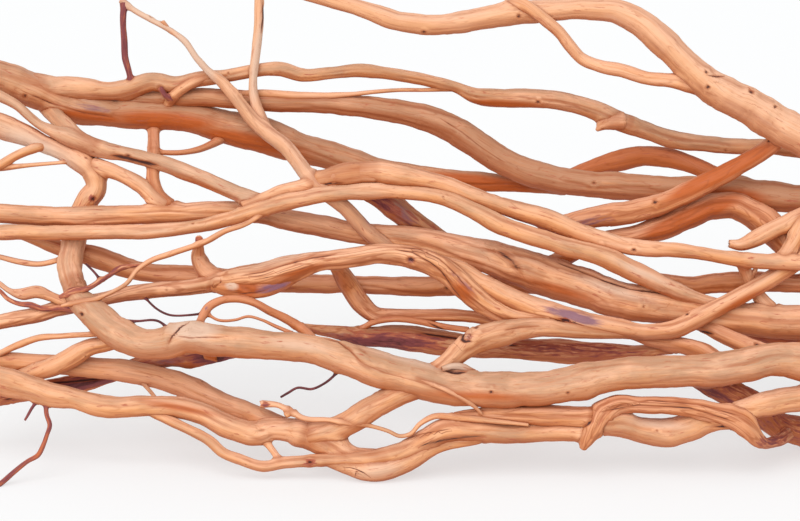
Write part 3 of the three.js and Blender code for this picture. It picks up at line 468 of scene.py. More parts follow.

# %% [markdown]
# ## Each limb's own character
# The grain is stronger on some limbs, a few keep their bark, and some are darker, from weathering and from
# painted shade on the back limbs. The first value is how deep the flutes are, as a share of the radius; the
# next is the depth of the grooves; the last three are the shares of old bark, of deep orange wood that is
# partly painted shade, and of bleached wood. Bark above 1 is nearly black.

# %% The character of the limbs
PLAIN = (0.028, 1.0, 0.0, 0.0, 0.0)
CHARACTER = {
    "old_trunk": (0.036, 0.8, 0, 0.1, 0), "left_bend": (0.028, 0.4, 0, 0.03, 0.06),
    "olive_limb": (0.03, 1, 0, -0.15, 0.05), "olive_side_limb": (0.03, 1, 0, -0.1, 0.05),
    "back_middle_limb": (0.034, 0.8, 0, 0.16, 0), "forked_limb": (0.035, 1.2, 0, 0, 0.25),
    "down_twig": (0.03, 0.8, 0.88, 0.5, 0), "bark_spur": (0.03, 0.8, 0.62, 0.3, 0),
    "middle_limb": (0.032, 0.8, 0, 0.04, 0), "front_strand": (0.03, 0.8, 0, 0, 0.03),
    "front_long_limb": (0.03, 0.8, 0, 0.02, 0.05), "barked_limb": (0.05, 1.4, 0.2, 0.12, 0),
    "far_arch": (0.035, 1.2, 0, 0.75, 0), "low_arch": (0.045, 1.3, 0, 0.3, 0),
    "crossing_limb": (0.036, 1, 0, 0.3, 0), "top_limb": (0.024, 0.35, 0, -0.06, 0.12),
    "burled_limb": (0.055, 1.7, 0, 0.04, 0.05), "inner_bend": (0.05, 1.7, 0, 0.25, 0),
    "inner_strand": (0.05, 1.5, 0.1, 0.5, 0), "back_lower_limb": (0.032, 1.1, 0, 0.22, 0),
    "dark_red_limb": (0.05, 1.3, 0.16, 0.1, 0), "over_limb": (0.03, 0.7, 0, 0.05, 0),
    "knotted_fork": (0.032, 0.8, 0, 0.06, 0), "front_limb": (0.022, 0.3, 0, 0, 0.03),
    "lower_left_limb": (0.026, 0.7, 0, 0.1, 0), "lower_front_limb": (0.028, 0.7, 0, 0, 0),
    "knobbed_root": (0.035, 1.2, 0, 0.25, 0), "burl_lobe": (0.05, 1.6, 0, 0.35, 0),
    "arched_rootlet": (0.03, 0.8, 0, 0.5, 0), "fine_rootlet": (0.03, 0.5, 0.12, 0.5, 0),
    "drop_limb": (0.03, 0.9, 0, 0.4, 0), "cross_twig": (0.03, 0.8, 0, 0.4, 0),
    "back_left_foot": (0.04, 1.2, 0, 0.3, 0), "back_right_foot": (0.04, 1.2, 0, 0.3, 0),
    "fluted_arch": (0.075, 2.2, 0, 0.28, 0), "swollen_root": (0.036, 0.8, 0, 0.05, 0),
    "lowest_front_limb": (0.036, 0.45, 0, 0.05, 0.02), "under_limb": (0.045, 1.5, 0, 0.18, 0),
    "dark_right_root": (0.06, 1.6, 0.44, 0.4, 0), "dark_left_root": (0.05, 1.4, 0.4, 0.5, 0),
    "right_back_limb": (0.045, 1.3, 0, 0.35, 0), "dark_strip_root": (0.05, 1.3, 0.45, 0.7, 0),
    "right_low_link": (0.04, 1.2, 0, 0.25, 0), "under_bridge": (0.04, 1.2, 0, 0.25, 0),
    "grey_stub": (0.06, 1.2, 0, 0.05, 0.12), "ochre_stub": (0.05, 1.4, 0, 0.2, 0),
    "gnarled_twig": (0.09, 1.6, 0.1, 0.1, 0.1), "under_twig": (0.06, 1.2, 0.6, 0.4, 0),
    "barked_twig": (0.06, 1.2, 0.6, 0.2, 0.1), "dark_hair_root": (0.03, 0.5, 1.4, 0.5, 0),
    "surface_hair_root": (0.03, 0.5, 1.4, 0.5, 0), "hanging_hair_root": (0.03, 0.5, 1.4, 0.6, 0),
    "black_hair_root": (0.03, 0.5, 1.4, 0.6, 0), "short_rootlet": (0.03, 0.5, 1.1, 0.7, 0),
    "floor_rootlet": (0.05, 0.8, 0.72, 0.9, 0), "foot_bulge": (0.035, 0.6, 0, 0, 0),
    "upright_twig": (0.028, 1, 0, 0, 0.25), "blunt_stub": (0.02, 0.4, 0, 0.1, 0),
    "hanging_rootlet": (0.05, 0.9, 0, 0.1, 0),
}

# How grey and dull a limb is made, from 0 to 1: weathering, and painted shade on the back limbs.
WEATHERED_AND_SHADED_LIMBS = {
    "old_trunk": 1, "back_middle_limb": 1.15, "upper_back_limb": 0.7, "front_limb": 0.76,
    "lower_left_limb": 0.4, "left_bend": 0.42, "olive_limb": 0.85, "olive_side_limb": 0.7,
    "middle_limb": 0.5, "knotted_fork": 0.5, "swollen_root": 0.55, "lower_front_limb": 0.45,
    "foot_bulge": 0.5, "lowest_front_limb": 0.5, "grey_stub": 0.8, "front_strand": 0.55, "top_limb": 0.12,
    "top_branch": 0.1, "crown": 0.2, "burled_limb": 0.22, "over_limb": 0.28, "far_arch": 0,
    "crossing_limb": 0.25, "low_arch": 0.25, "dark_hair_root": 0, "barked_limb": 0.85, "forked_limb": 0.35,
    "dark_red_limb": 0.75, "burl_lobe": 0.2, "arched_rootlet": 0.35, "hanging_hair_root": 0.6,
}
WEATHERED_AND_SHADED_ELSEWHERE = 0.32
# Limbs whose ribs and hollows stand out sharply, with the height of the ribs in millimetres.
FLUTED = {
    "burled_limb": 0.95, "burl_lobe": 0.5, "low_arch": 0.55, "fluted_arch": 0.85, "inner_bend": 0.6,
    "old_trunk": 0.28, "crossing_limb": 0.4, "barked_limb": 0.6, "dark_red_limb": 0.7,
    "lowest_front_limb": 0.1, "back_middle_limb": 0.2, "knotted_fork": 0.16, "over_limb": 0.15,
    "middle_limb": 0.2, "under_limb": 0.4, "dark_left_root": 0.7, "dark_right_root": 0.8, "crown": 0.6,
    "gnarled_twig": 0.3, "far_arch": 0.3, "inner_strand": 0.3, "foot_bulge": 0.2, "right_low_link": 0.35,
    "right_back_limb": 0.35, "grey_stub": 0.4, "left_bend": 0.08, "front_limb": 0.05, "top_limb": 0.15,
    "lower_front_limb": 0.1, "front_long_limb": 0.2, "hanging_rootlet": 0.15, "forked_limb": 0.15,
}
FLUTED_ELSEWHERE = 0.1
# Limbs whose first or last end is snapped.
BROKEN_STARTS = {
    "snapped_twig", "front_twig", "old_trunk", "middle_limb", "lower_front_limb",
    "lower_left_limb", "left_bend",
}
BROKEN_ENDS = {"grey_stub", "front_twig_stub", "ochre_stub", "crown_spur"}
print(len(CHARACTER), "limbs have a character of their own,", len(FLUTED), "have sharp ribs")

# %% [markdown]
# ## Knots, wounds and bark
# A knot is where a side twig was once held: a low swelling, a dark pit in it, and grain that flows
# round it. Each is given where it is seen from the front, on the limb that bears it, with its size in
# millimetres and the depth of its pit. Ovals mark bark that the water hasn't taken, lilac weathering,
# bleached wood that is partly a painted highlight on upper sides, and wood of a deep orange that is partly
# painted shade on undersides: their place, half length, half width and strength. Lines are cracks, creases
# and lips, and a few dark ones are painted shadow: half width, height and darkness, then the points they
# run through.

# %% Knots and patches
KNOTS = limb_table("""
front_long_limb: 434 197 2.8 1, 460 201 2.2 0.8, 600 247 2.6 1.4, 634 250 2.8 1.4;
crossing_limb: 655 202 3.2 1.5, 769 141 2.2 1.2; top_limb: 706 72 2.4 1.2, 708 87 2.8 1.6, 751 92 3.4 1,
    775 107 2.2 1.2, 519 16 3 1.2, 424 32 3 0.8; burled_limb: 411 260 4.2 2.2, 427 252 1.6 0.6,
    471 287 1.6 0.6, 454 273 2.2 0.8; knotted_fork: 468 337 6 0, 476 327 3 2; front_limb: 82 314 2.8 1.4,
    491 392 2.4 1.2, 568 393 2.4 1; lowest_front_limb: 310 463 3.2 2; foot_bulge: 366 461 1.8 1.4,
    388 457 2.2 1.2, 400 459 1.8 1; over_limb: 687 314 2.4 1.2, 471 284 1.8 0.9;
right_low_link: 757 345 3.4 2; upper_back_limb: 538 102 2.8 1.2; lower_front_limb: 262 430 5 0;
swollen_root: 590 424 3.4 2; middle_limb: 514 268 5 0; back_middle_limb: 594 183 3.2 0.9;
left_bend: 93 199 3.4 1.4; olive_limb: 128 156 3.2 1.2; back_lower_limb: 447 288 3.4 1.2;
old_trunk: 25 96 3.4 0.9;
""")
BARK_PATCHES = limb_table("""
dark_red_limb: 385 342 60 9 1, 575 350 76 9 0.5; left_bend: 93 199 4 5 0.8;
lowest_front_limb: 310 463 7 4 0.8; dark_left_root: 80 384 46 6 1, 215 356 24 8 1;
barked_limb: 384 203 22 7 0.7; thin_left_root: 108 335 8 3 0.8; over_limb: 566 320.5 6 2.6 0.9;
fluted_arch: 774 440 20 8 0.72; knobbed_root: 198 239 4 5 0.6; front_twig: 265 405 4.5 5 0.75;
middle_limb: 702 298 18 4 0.6; dark_right_root: 710 390 24 4 0.5;
""")
LILAC_PATCHES = limb_table("""
over_limb: 575 316.5 30 5.5 1.25; burl_lobe: 273 287 20 5 0.95; front_long_limb: 532 226 26 3 0.7;
burled_limb: 462 281 24 2.5 0.55, 217 290 3 3 0.8, 411 260 4 3 1, 216 290 4 5 0.9;
barked_limb: 400 212 26 9 0.8; dark_red_limb: 352 338 30 5 0.8; old_trunk: 92 108 24 4 0.55;
knotted_fork: 468 336 5 4 0.55; crossing_limb: 590 222 24 5 0.7; arched_rootlet: 206 308 3 2.5 0.8;
dark_left_root: 170 361 24 5 0.8; forked_limb: 367 222 13 2 0.6;
""")
# Pale patches: bleached wood, and painted highlight where they lie on the upper sides of limbs.
PALE_AND_HIGHLIGHT_PATCHES = limb_table("""
front_limb: 193 328 24 11 1.3, 410 358 50 6 0.9, 300 345 34 6 0.5; burl_lobe: 232 286 6 4 1.4;
grey_stub: 456 367 12 7 1; front_strand: 640 272 34 4 0.7; swollen_root: 660 424 30 5 0.7;
middle_limb: 610 288 40 5 0.7; forked_limb: 150 16 30 5 1, 193 50 34 8 1.2; left_bend: 36 146 46 10 0.9;
upright_twig: 258 60 40 6 0.9; crown: 780 215 20 16 0.7; foot_bulge: 380 470 24 8 0.5;
old_trunk: 60 86 44 4 0.6; burled_limb: 300 252 60 5 0.5;
""")
# Deep orange patches, most of them on undersides: the wood's own orange with painted shade.
DEEP_ORANGE_AND_SHADE_PATCHES = limb_table("""
old_trunk: 165 121 52 9 1.2, 90 116 40 5 1, 470 184 64 9 1.6, 250 142 60 9 1.1;
burl_lobe: 247 289 9 7 1.5; knobbed_root: 199 240 5 5 1.2; burled_limb: 463 292 14 9 1, 300 272 26 4 0.9;
crossing_limb: 722 172 60 8 1.25; low_arch: 690 218 50 9 1.2, 560 268 26 8 1;
dark_left_root: 212 361 12 6 1; back_middle_limb: 735 196 30 8 1; upper_back_limb: 500 104 46 4 1;
olive_limb: 200 186 26 4 0.8; back_lower_limb: 210 286 30 5 0.8; ochre_stub: 216 358 10 7 1;
over_limb: 740 302 30 4 0.8; front_limb: 250 362 50 5 0.8, 480 396 60 5 0.8;
middle_limb: 560 290 40 5 0.8; lower_front_limb: 180 408 40 4 0.8;
""")

PATCHES = {
    "bark_patch": BARK_PATCHES, "lilac_patch": LILAC_PATCHES, "pale_patch": PALE_AND_HIGHLIGHT_PATCHES,
    "deep_patch": DEEP_ORANGE_AND_SHADE_PATCHES,
}
print(sum(len(knots) for knots in KNOTS.values()), "knots and", len(PATCHES), "kinds of patch")

# %% Cracks, creases, lips and painted shadow lines
# Some dark lines are painted shadow: on the olive limb the shadow of a gap below it, and on the front limb
# the shadow line along the lower edge of the wound.
LINES = limb_table("""
front_limb: 2.4 1.3 0  322 335 340 338 353 347 366 360 374 366,
    1.1 -1.1 0.4  324 338 338 341 350 350 362 363,
    1 -0.6 0.12  362 363 385 373 430 385,
    3 3.6 0  165 344 167 333 172 324 183 317.5 199 316 218 320,
    7 -5 0  186 330 208 328,
    1 -1.6 0.8  169 343 172 336 176 332 181 326 189 322.5,
    1 -1.6 0.4  178 336 190 338 205 337 224 337,
    1.5 -1.6 1  445 371 456 372.5 467 371.5;
knotted_fork: 1.6 -2.4 1  466 329 463 333 462 339 465 341 469 340.5 473 342,
    1 -1 0.5  466 334 470 333 471 337,
    1.1 -1 0.4  505 330 520 327 540 326;
burled_limb: 3.4 4.2 0  217 275 215.5 284 216 292,
    1.2 -2 0.9  220.5 280 222 288 225 294,
    2.2 1.3 0  250 281 275 275 300 268 318 262,
    1.2 -1.3 0.5  240 276 262 272 286 264 310 258 336 254,
    1 -1 0.4  252 280 276 276 298 270 316 264,
    1.1 -1.2 0.6  395 249 412 252 430 262 441 271 452 288 462 300,
    1.8 1 0  402 248 424 254 444 266 455 282 468 296,
    1 -1 0.5  400 246 420 249 440 259 456 274 470 292;
burl_lobe: 3.6 2.2 0  228 287 237 285,
    2.6 -2.4 0.2  241 286 250 290,
    1 -1.2 0.6  232 292 244 294 256 293 268 290,
    0.9 -0.8 0.5  262 281 276 279 290 273;
olive_limb: 2.1 -2 1  112 155.5 126 158.5 140 162.5 158 166;
upright_twig: 1 0 0.9  262.5 2 263 18 261 34;
foot_bulge: 0.6 -0.7 0.8  342 468 350 467.5 357 469.5 364 473 371 478,
    0.7 -0.6 0.6  356.5 469 356 473 355 477,
    0.7 -0.6 0.6  384 456 388 459.5 394 460.5 402 458;
swollen_root: 1.2 -2 1  714 427 728 425 742 428;
fluted_arch: 1.2 -1.8 1  585 427 590 422 592 408,
    1.2 -1.3 0.5  600 412 640 405 690 408 735 422,
    1 -1 0.4  606 407 650 400 700 404 740 416;
lowest_front_limb: 0.9 -0.7 0.5  402 440 420 434 450 429,
    3.5 -0.5 0.5  416 447 440 441 467 437 485 436;
top_limb: 1 -1.2 0.7  707 75 716 76.5 725 76;
inner_strand: 1 -1.2 0.9  428 322 438 328 448 332;
front_long_limb: 1.3 -1.6 0.6  500 215 520 222 545 231 566 239;
middle_limb: 1.1 -1 0.4  482 247 505 255 516 264 520 273,
    5 0.3 0.55  498 251 508 258 518 268 522 274,
    1 -0.9 0.7  556 262 580 271 605 281 630 289 660 293 715 300;
broken_lip: 1.2 -1 0.8  318 186 330 183.5 343 183;
dark_left_root: 1.4 -1.8 1  45 383 75 381 112 377,
    1.4 -1.5 0.9  4 400 24 396;
right_low_link: 1.8 -2.2 1  684 331 700 333 714 334;
right_link: 1.3 -1.4 0.8  753 270 757 280;
old_trunk: 1.1 -1 0.4  20 90 50 103 84 113 112 117;
dark_red_limb: 1.3 -1.3 0.8  420 333 450 337 480 341 520 346;
back_middle_limb: 1 -0.8 0.4  440 118 462 132 482 148 505 163;
over_limb: 1.8 -1.4 0.9  561 319 565 321 570 320,
    0.9 -0.8 0.6  552 318 559 321 574 323 584 326;
""")
print(sum(len(lines) for lines in LINES.values()), "cracks, creases and lips are listed")

# %% [markdown]
# ## One limb as a skin of rings
# The rings are about two millimetres apart and their corners a little closer, so that ribs and grooves
# show as shape. Rounded ends close with smaller and smaller rings. A broken end closes with a ragged
# ring and a sunken middle, as a snapped root does.

# %% Ring skins
CORNER_GAP = 1.5
FEWEST_CORNERS, MOST_CORNERS = 9, 80
# Limbs thinner than this are plain, with no grooves or ribs.
PLAIN_BELOW_MM = 2.6
FIRST_SEED, SEED_STEP = 11, 7
# A limb wanders off its middle line by a share of its radius, and swells slowly and quickly.
WANDER_SHARE, WANDER_MM = 0.05, 90
SLOW_SWELL, SLOW_SWELL_MM = 0.035, 70
QUICK_SWELL, QUICK_SWELL_MM = 0.02, 24
FINE_RIB_MM, FINE_RIB_SHARE = 0.22, 0.02


def corners_for(radius):
    """How many corners a ring of this radius has."""
    return int(np.clip(2 * math.pi * radius / CORNER_GAP, FEWEST_CORNERS, MOST_CORNERS))


def make_limb(name, stations, seed):
    """The rings of one limb, as a dict of arrays in millimetres."""
    rng = np.random.default_rng(seed)
    flute, groove, bark, deep, pale = CHARACTER.get(name, PLAIN)
    centre, radius, length = soft_curve(stations)
    thick = radius.max()
    wander = np.column_stack([drift(rng, length, WANDER_MM) for _ in range(3)])
    centre = centre + WANDER_SHARE * radius[:, None] * wander
    slow, quick = drift(rng, length, SLOW_SWELL_MM), drift(rng, length, QUICK_SWELL_MM)
    radius = radius * (1 + SLOW_SWELL * slow + QUICK_SWELL * quick)
    heading, side, third = side_directions(centre)
    angle = np.arange(corners_for(radius.mean())) * 2 * math.pi / corners_for(radius.mean())
    height = flutes(rng, length, angle, radius, flute)
    if thick > PLAIN_BELOW_MM:
        height = height + grooves(rng, length, angle, radius, groove)
        rib_height = min(FINE_RIB_MM, FINE_RIB_SHARE * thick) * groove
        height = height + fine_ribs(rng, length, angle, radius, rib_height)
        height = height + sharp_flutes(rng, length, angle, radius, FLUTED.get(name, FLUTED_ELSEWHERE))
    out = np.cos(angle)[None, :, None] * side[:, None, :] + np.sin(angle)[None, :, None] * third[:, None, :]
    grain_round = radius[:, None] * angle[None, :]
    return {
        "name": name, "centre": centre, "radius": radius, "length": length, "heading": heading,
        "angle": angle, "out": out, "height": height, "rng": rng, "bark": bark, "deep": deep, "pale": pale,
        "grain_round": grain_round, "offset": rng.uniform(-400, 400, 3),
    }


limbs = {}
for group in LIMBS.values():
    for name, stations in group.items():
        limbs[name] = make_limb(name, stations, FIRST_SEED + SEED_STEP * len(limbs))
print(len(limbs), "limbs,", sum(l["height"].size for l in limbs.values()), "corners")

# %% [markdown]
# ## Knots, the wound and the ragged patches in the shape
# The marks are placed as they are seen from the front, and only on the side of the limb that faces
# front. A mark's height is added to the rings, and its share is kept for the colour.

# %% Marks on the limbs
def front_view(limb):
    """Across and down of each corner, and how far it faces the front."""
    points = limb["centre"][:, None, :] + limb["out"] * (limb["radius"][:, None] + limb["height"])[..., None]
    across, down = seen_from_front(points.reshape(-1, 3))
    facing = np.clip(-(limb["out"] @ inward) * 3 + 0.4, 0, 1)
    return across.reshape(facing.shape), down.reshape(facing.shape), facing


def run_of(limb, across, down):
    """The direction of the limb in the front plane nearest to a point, as a unit pair."""
    x, y = seen_from_front(limb["centre"])
    near = int(np.argmin((x - across) ** 2 + (y - down) ** 2))
    a, b = max(near - 3, 0), min(near + 3, len(x) - 1)
    step = np.array([x[b] - x[a], y[b] - y[a]])
    return step / np.linalg.norm(step)


def oval(limb, across, down, long_half, short_half):
    """Distance from a mark's middle, 1 at its edge, on an oval that lies along the limb."""
    x, y, facing = front_view(limb)
    run = run_of(limb, across, down)
    ahead = (x - across) * run[0] + (y - down) * run[1]
    beside = -(x - across) * run[1] + (y - down) * run[0]
    return np.sqrt((ahead / long_half) ** 2 + (beside / short_half) ** 2), ahead, beside, facing

# %% Knots
# Corners far from any knot or line carry these distances, in knot sizes and half widths.
NO_KNOT = 3.0
NO_LINE = 6.0
# A patch fades out over the last part of this many half lengths.
PATCH_EDGE = 1.35
# The form of a knot, in knot sizes: its length, the height and ring of its swelling, its pit, how far
# the grain bends round it, and how far its colour can reach.
KNOT_LENGTH = 1.3
SWELL_HEIGHT, SWELL_RING, SWELL_WIDTH = 0.26, 0.95, 0.7
PIT_WIDTH = 0.5
GRAIN_BEND = 0.9
KNOT_REACH = 2.4
for name, limb in limbs.items():
    shape = limb["height"].shape
    for mark in PATCHES:
        limb[mark] = np.zeros(shape)
    limb["knots"] = np.zeros(shape + (3,))
    limb["knots"][..., 0] = NO_KNOT
    limb["lines"] = np.zeros(shape + (3,))
    limb["lines"][..., 0] = NO_LINE
    limb["lines"][..., 2] = FLUTED.get(name, FLUTED_ELSEWHERE)


def add_knot(limb, ahead, beside, size, pit, facing):
    """A low swelling with a pit. The place within the nearest knot, in knot sizes, is kept for colour."""
    across, along_grain = beside / size, ahead / (KNOT_LENGTH * size)
    away = np.hypot(across, along_grain)
    swell = SWELL_HEIGHT * size * np.exp(-((away - SWELL_RING) / SWELL_WIDTH) ** 2)
    limb["height"] = limb["height"] + facing * (swell - pit * np.exp(-((away / PIT_WIDTH) ** 2)))
    bend = facing * np.sign(beside) * GRAIN_BEND * size * np.exp(-(away**2))
    limb["grain_round"] = limb["grain_round"] + bend
    if pit > 0:
        strength = facing * np.clip(KNOT_REACH - away, 0, 1) * min(1, 0.4 + 0.45 * pit)
        shrink = np.minimum(1, NO_KNOT / np.maximum(away, TINY))
        nearer = away < np.hypot(limb["knots"][..., 0], limb["knots"][..., 1])
        place_in_knot = np.stack([across * shrink, along_grain * shrink, strength], -1)
        limb["knots"] = np.where(nearer[..., None], place_in_knot, limb["knots"])


for name, knots in KNOTS.items():
    for across, down, size, pit in knots:
        _, ahead, beside, facing = oval(limbs[name], across, down, size, size)
        add_knot(limbs[name], ahead, beside, size, pit, facing)
for mark, marked_limbs in PATCHES.items():
    for name, ovals in marked_limbs.items():
        limb = limbs[name]
        for across, down, long_half, short_half, strength in ovals:
            away, _, _, facing = oval(limb, across, down, long_half, short_half)
            share = strength * facing * np.clip(PATCH_EDGE - away, 0, 1)
            limb[mark] = np.maximum(limb[mark], share)
print("knots and patches added")

# %% Cracks and lips on the limbs
# A crack tapers off over this length at either end.
TAPER_MM = 9


def place_on_line(x, y, points):
    """How far beside a run of straight stretches each point lies, and how far along it."""
    nearest = np.full(x.shape, np.inf)
    side = np.ones(x.shape)
    run_there = np.zeros(x.shape)
    behind = 0.0
    for (ax, ay), (bx, by) in zip(points[:-1], points[1:]):
        run_x, run_y = bx - ax, by - ay
        run = math.hypot(run_x, run_y)
        t = np.clip(((x - ax) * run_x + (y - ay) * run_y) / run**2, 0, 1)
        away = np.hypot(x - ax - t * run_x, y - ay - t * run_y)
        nearer = away < nearest
        nearest = np.where(nearer, away, nearest)
        side = np.where(nearer, np.sign((x - ax) * run_y - (y - ay) * run_x), side)
        run_there = np.where(nearer, behind + t * run, run_there)
        behind += run
    return nearest * side, run_there, behind


def add_line(limb, half_width, height_mm, dark, points):
    """A crack or a lip in a limb's height, which tapers off at both ends, and its darkness."""
    x, y, facing = front_view(limb)
    beside, run_there, total = place_on_line(x, y, points)
    taper = np.clip(np.minimum(run_there, total - run_there) / min(TAPER_MM, total / 3), 0, 1)
    away = np.clip(beside / half_width, -NO_LINE, NO_LINE)
    limb["height"] = limb["height"] + facing * (0.3 + 0.7 * taper) * height_mm * np.exp(-(away**2))
    if dark > 0:
        nearer = np.abs(away) < np.abs(limb["lines"][..., 0])
        limb["lines"][..., 0] = np.where(nearer, away, limb["lines"][..., 0])
        limb["lines"][..., 1] = np.where(nearer, dark * facing * np.sqrt(taper), limb["lines"][..., 1])


for name, lines in LINES.items():
    for half_width, height_mm, dark, *places in lines:
        points = list(zip(places[::2], places[1::2]))
        add_line(limbs[name], half_width, height_mm, dark, points)
print("cracks, creases and lips added")

# %% [markdown]
# ## Old random knots and buds
# Besides the knots that stand out, a root carries many small ones all round, also on the sides that
# the front doesn't show.

# %% Small knots all round
KNOTTED_FROM_MM = 4.5
KNOT_EVERY_MM = 110
KNOT_SIZES_MM = (1.2, 2.6)
PIT_DEPTHS_MM = (0.15, 0.8)
for limb in limbs.values():
    if limb["radius"].mean() < KNOTTED_FROM_MM:
        continue
    rng = limb["rng"]
    for _ in range(int(limb["length"][-1] / KNOT_EVERY_MM) + 1):
        at, where = rng.uniform(0, limb["length"][-1]), rng.uniform(0, 2 * math.pi)
        turn = (limb["angle"][None, :] - where + math.pi) % (2 * math.pi) - math.pi
        ahead = np.broadcast_to(limb["length"][:, None] - at, limb["height"].shape)
        beside = turn * limb["radius"][:, None]
        size, pit = rng.uniform(*KNOT_SIZES_MM), rng.uniform(*PIT_DEPTHS_MM)
        add_knot(limb, ahead, beside, size, pit, 1.0)
print("small knots added")

# %% [markdown]
# ## Where limbs meet
# Limbs that only touch keep a crisp crease. Where one grows out of another, the wood flows over in a
# soft fillet. Each corner near a neighbour is pushed out by the smooth blend of the two surfaces, by
# little at a mere contact and by more near a limb's own buried end.

# %% Nearest neighbour limbs
# How far a fillet reaches: millimetres at a mere contact, and a share of the thinner limb at a fork.
CONTACT_BLEND = 3.5
FORK_BLEND = 1.15
# A limb counts as forking within this many radii of its end.
END_REACH = 2.6
# Surfaces that face the same way get no fillet, and corners deep inside a neighbour aren't moved.
CROSSING_GAIN = 1.3
INSIDE_FADE_MM = 1.6
# A pushed corner leans towards its neighbour's own way out.
LEAN_SHARE = 0.5
LEAST_SLOPE = 0.35
# How far the painted shade reaches from a neighbouring limb, in millimetres.
CONTACT_SHADE_REACH = 5
SPINE_STEP = 9.0
BOX_MARGIN = 9


def spine(limb):
    """A coarser run of a limb's middle line, for distances."""
    stride = max(1, int(SPINE_STEP / limb["length"][1]))
    keep = np.unique(np.append(np.arange(0, len(limb["length"]), stride), len(limb["length"]) - 1))
    return limb["centre"][keep], limb["radius"][keep], limb["length"][keep]


def distance_to(points, nodes, radii, lengths):
    """Distance of points to a run of round cones, the way out, and the length there."""
    a, b = nodes[:-1], nodes[1:]
    run = b - a
    t = np.einsum("nmk,mk->nm", points[:, None, :] - a[None], run) / np.maximum((run**2).sum(1), TINY)
    t = np.clip(t, 0, 1)
    away = points[:, None, :] - (a[None] + t[..., None] * run[None])
    far = np.linalg.norm(away, axis=2)
    gap = far - (radii[:-1] + t * (radii[1:] - radii[:-1]))
    best = gap.argmin(1)
    row = np.arange(len(points))
    way = away[row, best] / np.maximum(far[row, best], TINY)[:, None]
    at = lengths[best] + t[row, best] * (lengths[best + 1] - lengths[best])
    return gap[row, best], way, at


def near_end(at, total, radius):
    """1 at either end of a limb, falling to 0 over a few radii."""
    return np.exp(-((np.minimum(at, total - at) / (END_REACH * radius)) ** 2))


spines = {name: spine(limb) for name, limb in limbs.items()}
boxes = {}
for name, limb in limbs.items():
    margin = limb["radius"].max() + BOX_MARGIN
    boxes[name] = (limb["centre"].min(0) - margin, limb["centre"].max(0) + margin)
print(len(boxes), "limbs have a box, so that far neighbours are passed over")

# %% Fillets and creases
def blend_with_neighbours(limb):
    """Corner places of a limb, pushed out to meet its neighbours, and how near each corner is to one."""
    reach = (limb["radius"][:, None] + limb["height"])[..., None]
    start = (limb["centre"][:, None, :] + limb["out"] * reach).reshape(-1, 3)
    own_way = limb["out"].reshape(-1, 3)
    own_at = np.repeat(limb["length"], len(limb["angle"]))
    own_radius = np.repeat(limb["radius"], len(limb["angle"]))
    own_end = near_end(own_at, limb["length"][-1], np.maximum(own_radius, 3))
    moved = np.zeros_like(start)
    most = np.zeros(len(start))
    shade = np.zeros(len(start))
    low, high = boxes[limb["name"]]
    for other, (nodes, radii, lengths) in spines.items():
        if other == limb["name"]:
            continue
        other_low, other_high = boxes[other]
        if (other_low > high).any() or (other_high < low).any():
            continue
        inside = ((start > other_low) & (start < other_high)).all(1)
        picks = np.flatnonzero(inside)
        if not len(picks):
            continue
        for chunk in np.array_split(picks, len(picks) // 6000 + 1):
            gap, way, at = distance_to(start[chunk], nodes, radii, lengths)
            other_radius = np.interp(at, lengths, radii)
            fork = np.maximum(own_end[chunk], near_end(at, lengths[-1], np.maximum(other_radius, 3)))
            reach_mm = CONTACT_BLEND + fork * FORK_BLEND * np.minimum(own_radius[chunk], other_radius)
            touch = np.clip(1 - np.abs(gap) / reach_mm, 0, 1)
            crossing = np.clip(CROSSING_GAIN * (1 - (way * own_way[chunk]).sum(1)), 0, 1)
            # Two surfaces that blend rise by a quarter of the reach where they cross.
            raised = crossing * touch**2 * reach_mm / 4 * np.clip(1 + gap / INSIDE_FADE_MM, 0, 1)
            lean = (LEAN_SHARE * touch)[:, None]
            slope = (1 - lean) * own_way[chunk] + lean * way
            push = slope * (raised / np.maximum((slope**2).sum(1), LEAST_SLOPE))[:, None]
            better = raised > most[chunk]
            moved[chunk[better]] = push[better]
            most[chunk[better]] = raised[better]
            # Painted shade: a corner near a neighbouring limb is marked darker, as shade falls where limbs
            # touch.
            shade[chunk] = np.maximum(shade[chunk], np.clip(1 - np.abs(gap) / CONTACT_SHADE_REACH, 0, 1))
    shape = limb["out"].shape
    limb["points"] = (start + moved).reshape(shape)
    limb["crease"] = shade.reshape(shape[:2])


for limb in limbs.values():
    blend_with_neighbours(limb)
print("limbs blended where they meet")

# %% [markdown]
# ## The ends
# An end that the front view shows broken gets the ragged close; all other ends are rounded.

# %% Close the ends
# A rounded end: the turns of its rings in radians, and its length in radii.
CAP_TURNS = (0.45, 0.85, 1.2)
CAP_SHARE = 0.55
# A snapped end: how wide its lip and hollow are, how ragged, and how deep the hollow is, in radii.
LIP_WIDTH, LIP_RAGGED = 0.93, (-0.15, 0.55)
HOLLOW_WIDTH, HOLLOW_RAGGED = 0.45, (-0.5, 0.1)
HOLLOW_DEPTH = 0.2


def end_rings(limb, last, broken):
    """Extra rings that close one end of a limb, and the point in its middle."""
    index = -1 if last else 0
    ring, centre = limb["points"][index], limb["centre"][index]
    way = limb["heading"][index] * (1 if last else -1)
    radius = limb["radius"][index]
    rng = limb["rng"]
    if broken:
        ragged = rng.uniform(*LIP_RAGGED, len(ring)) * radius
        lip = centre + (ring - centre) * LIP_WIDTH + way * ragged[:, None]
        sunken = rng.uniform(*HOLLOW_RAGGED, len(ring)) * radius
        hollow = centre + (ring - centre) * HOLLOW_WIDTH + way * sunken[:, None]
        return [lip, hollow], centre - way * HOLLOW_DEPTH * radius
    rings = []
    for turn in CAP_TURNS:
        rings.append(centre + (ring - centre) * math.cos(turn) + way * CAP_SHARE * radius * math.sin(turn))
    return rings, centre + way * CAP_SHARE * radius


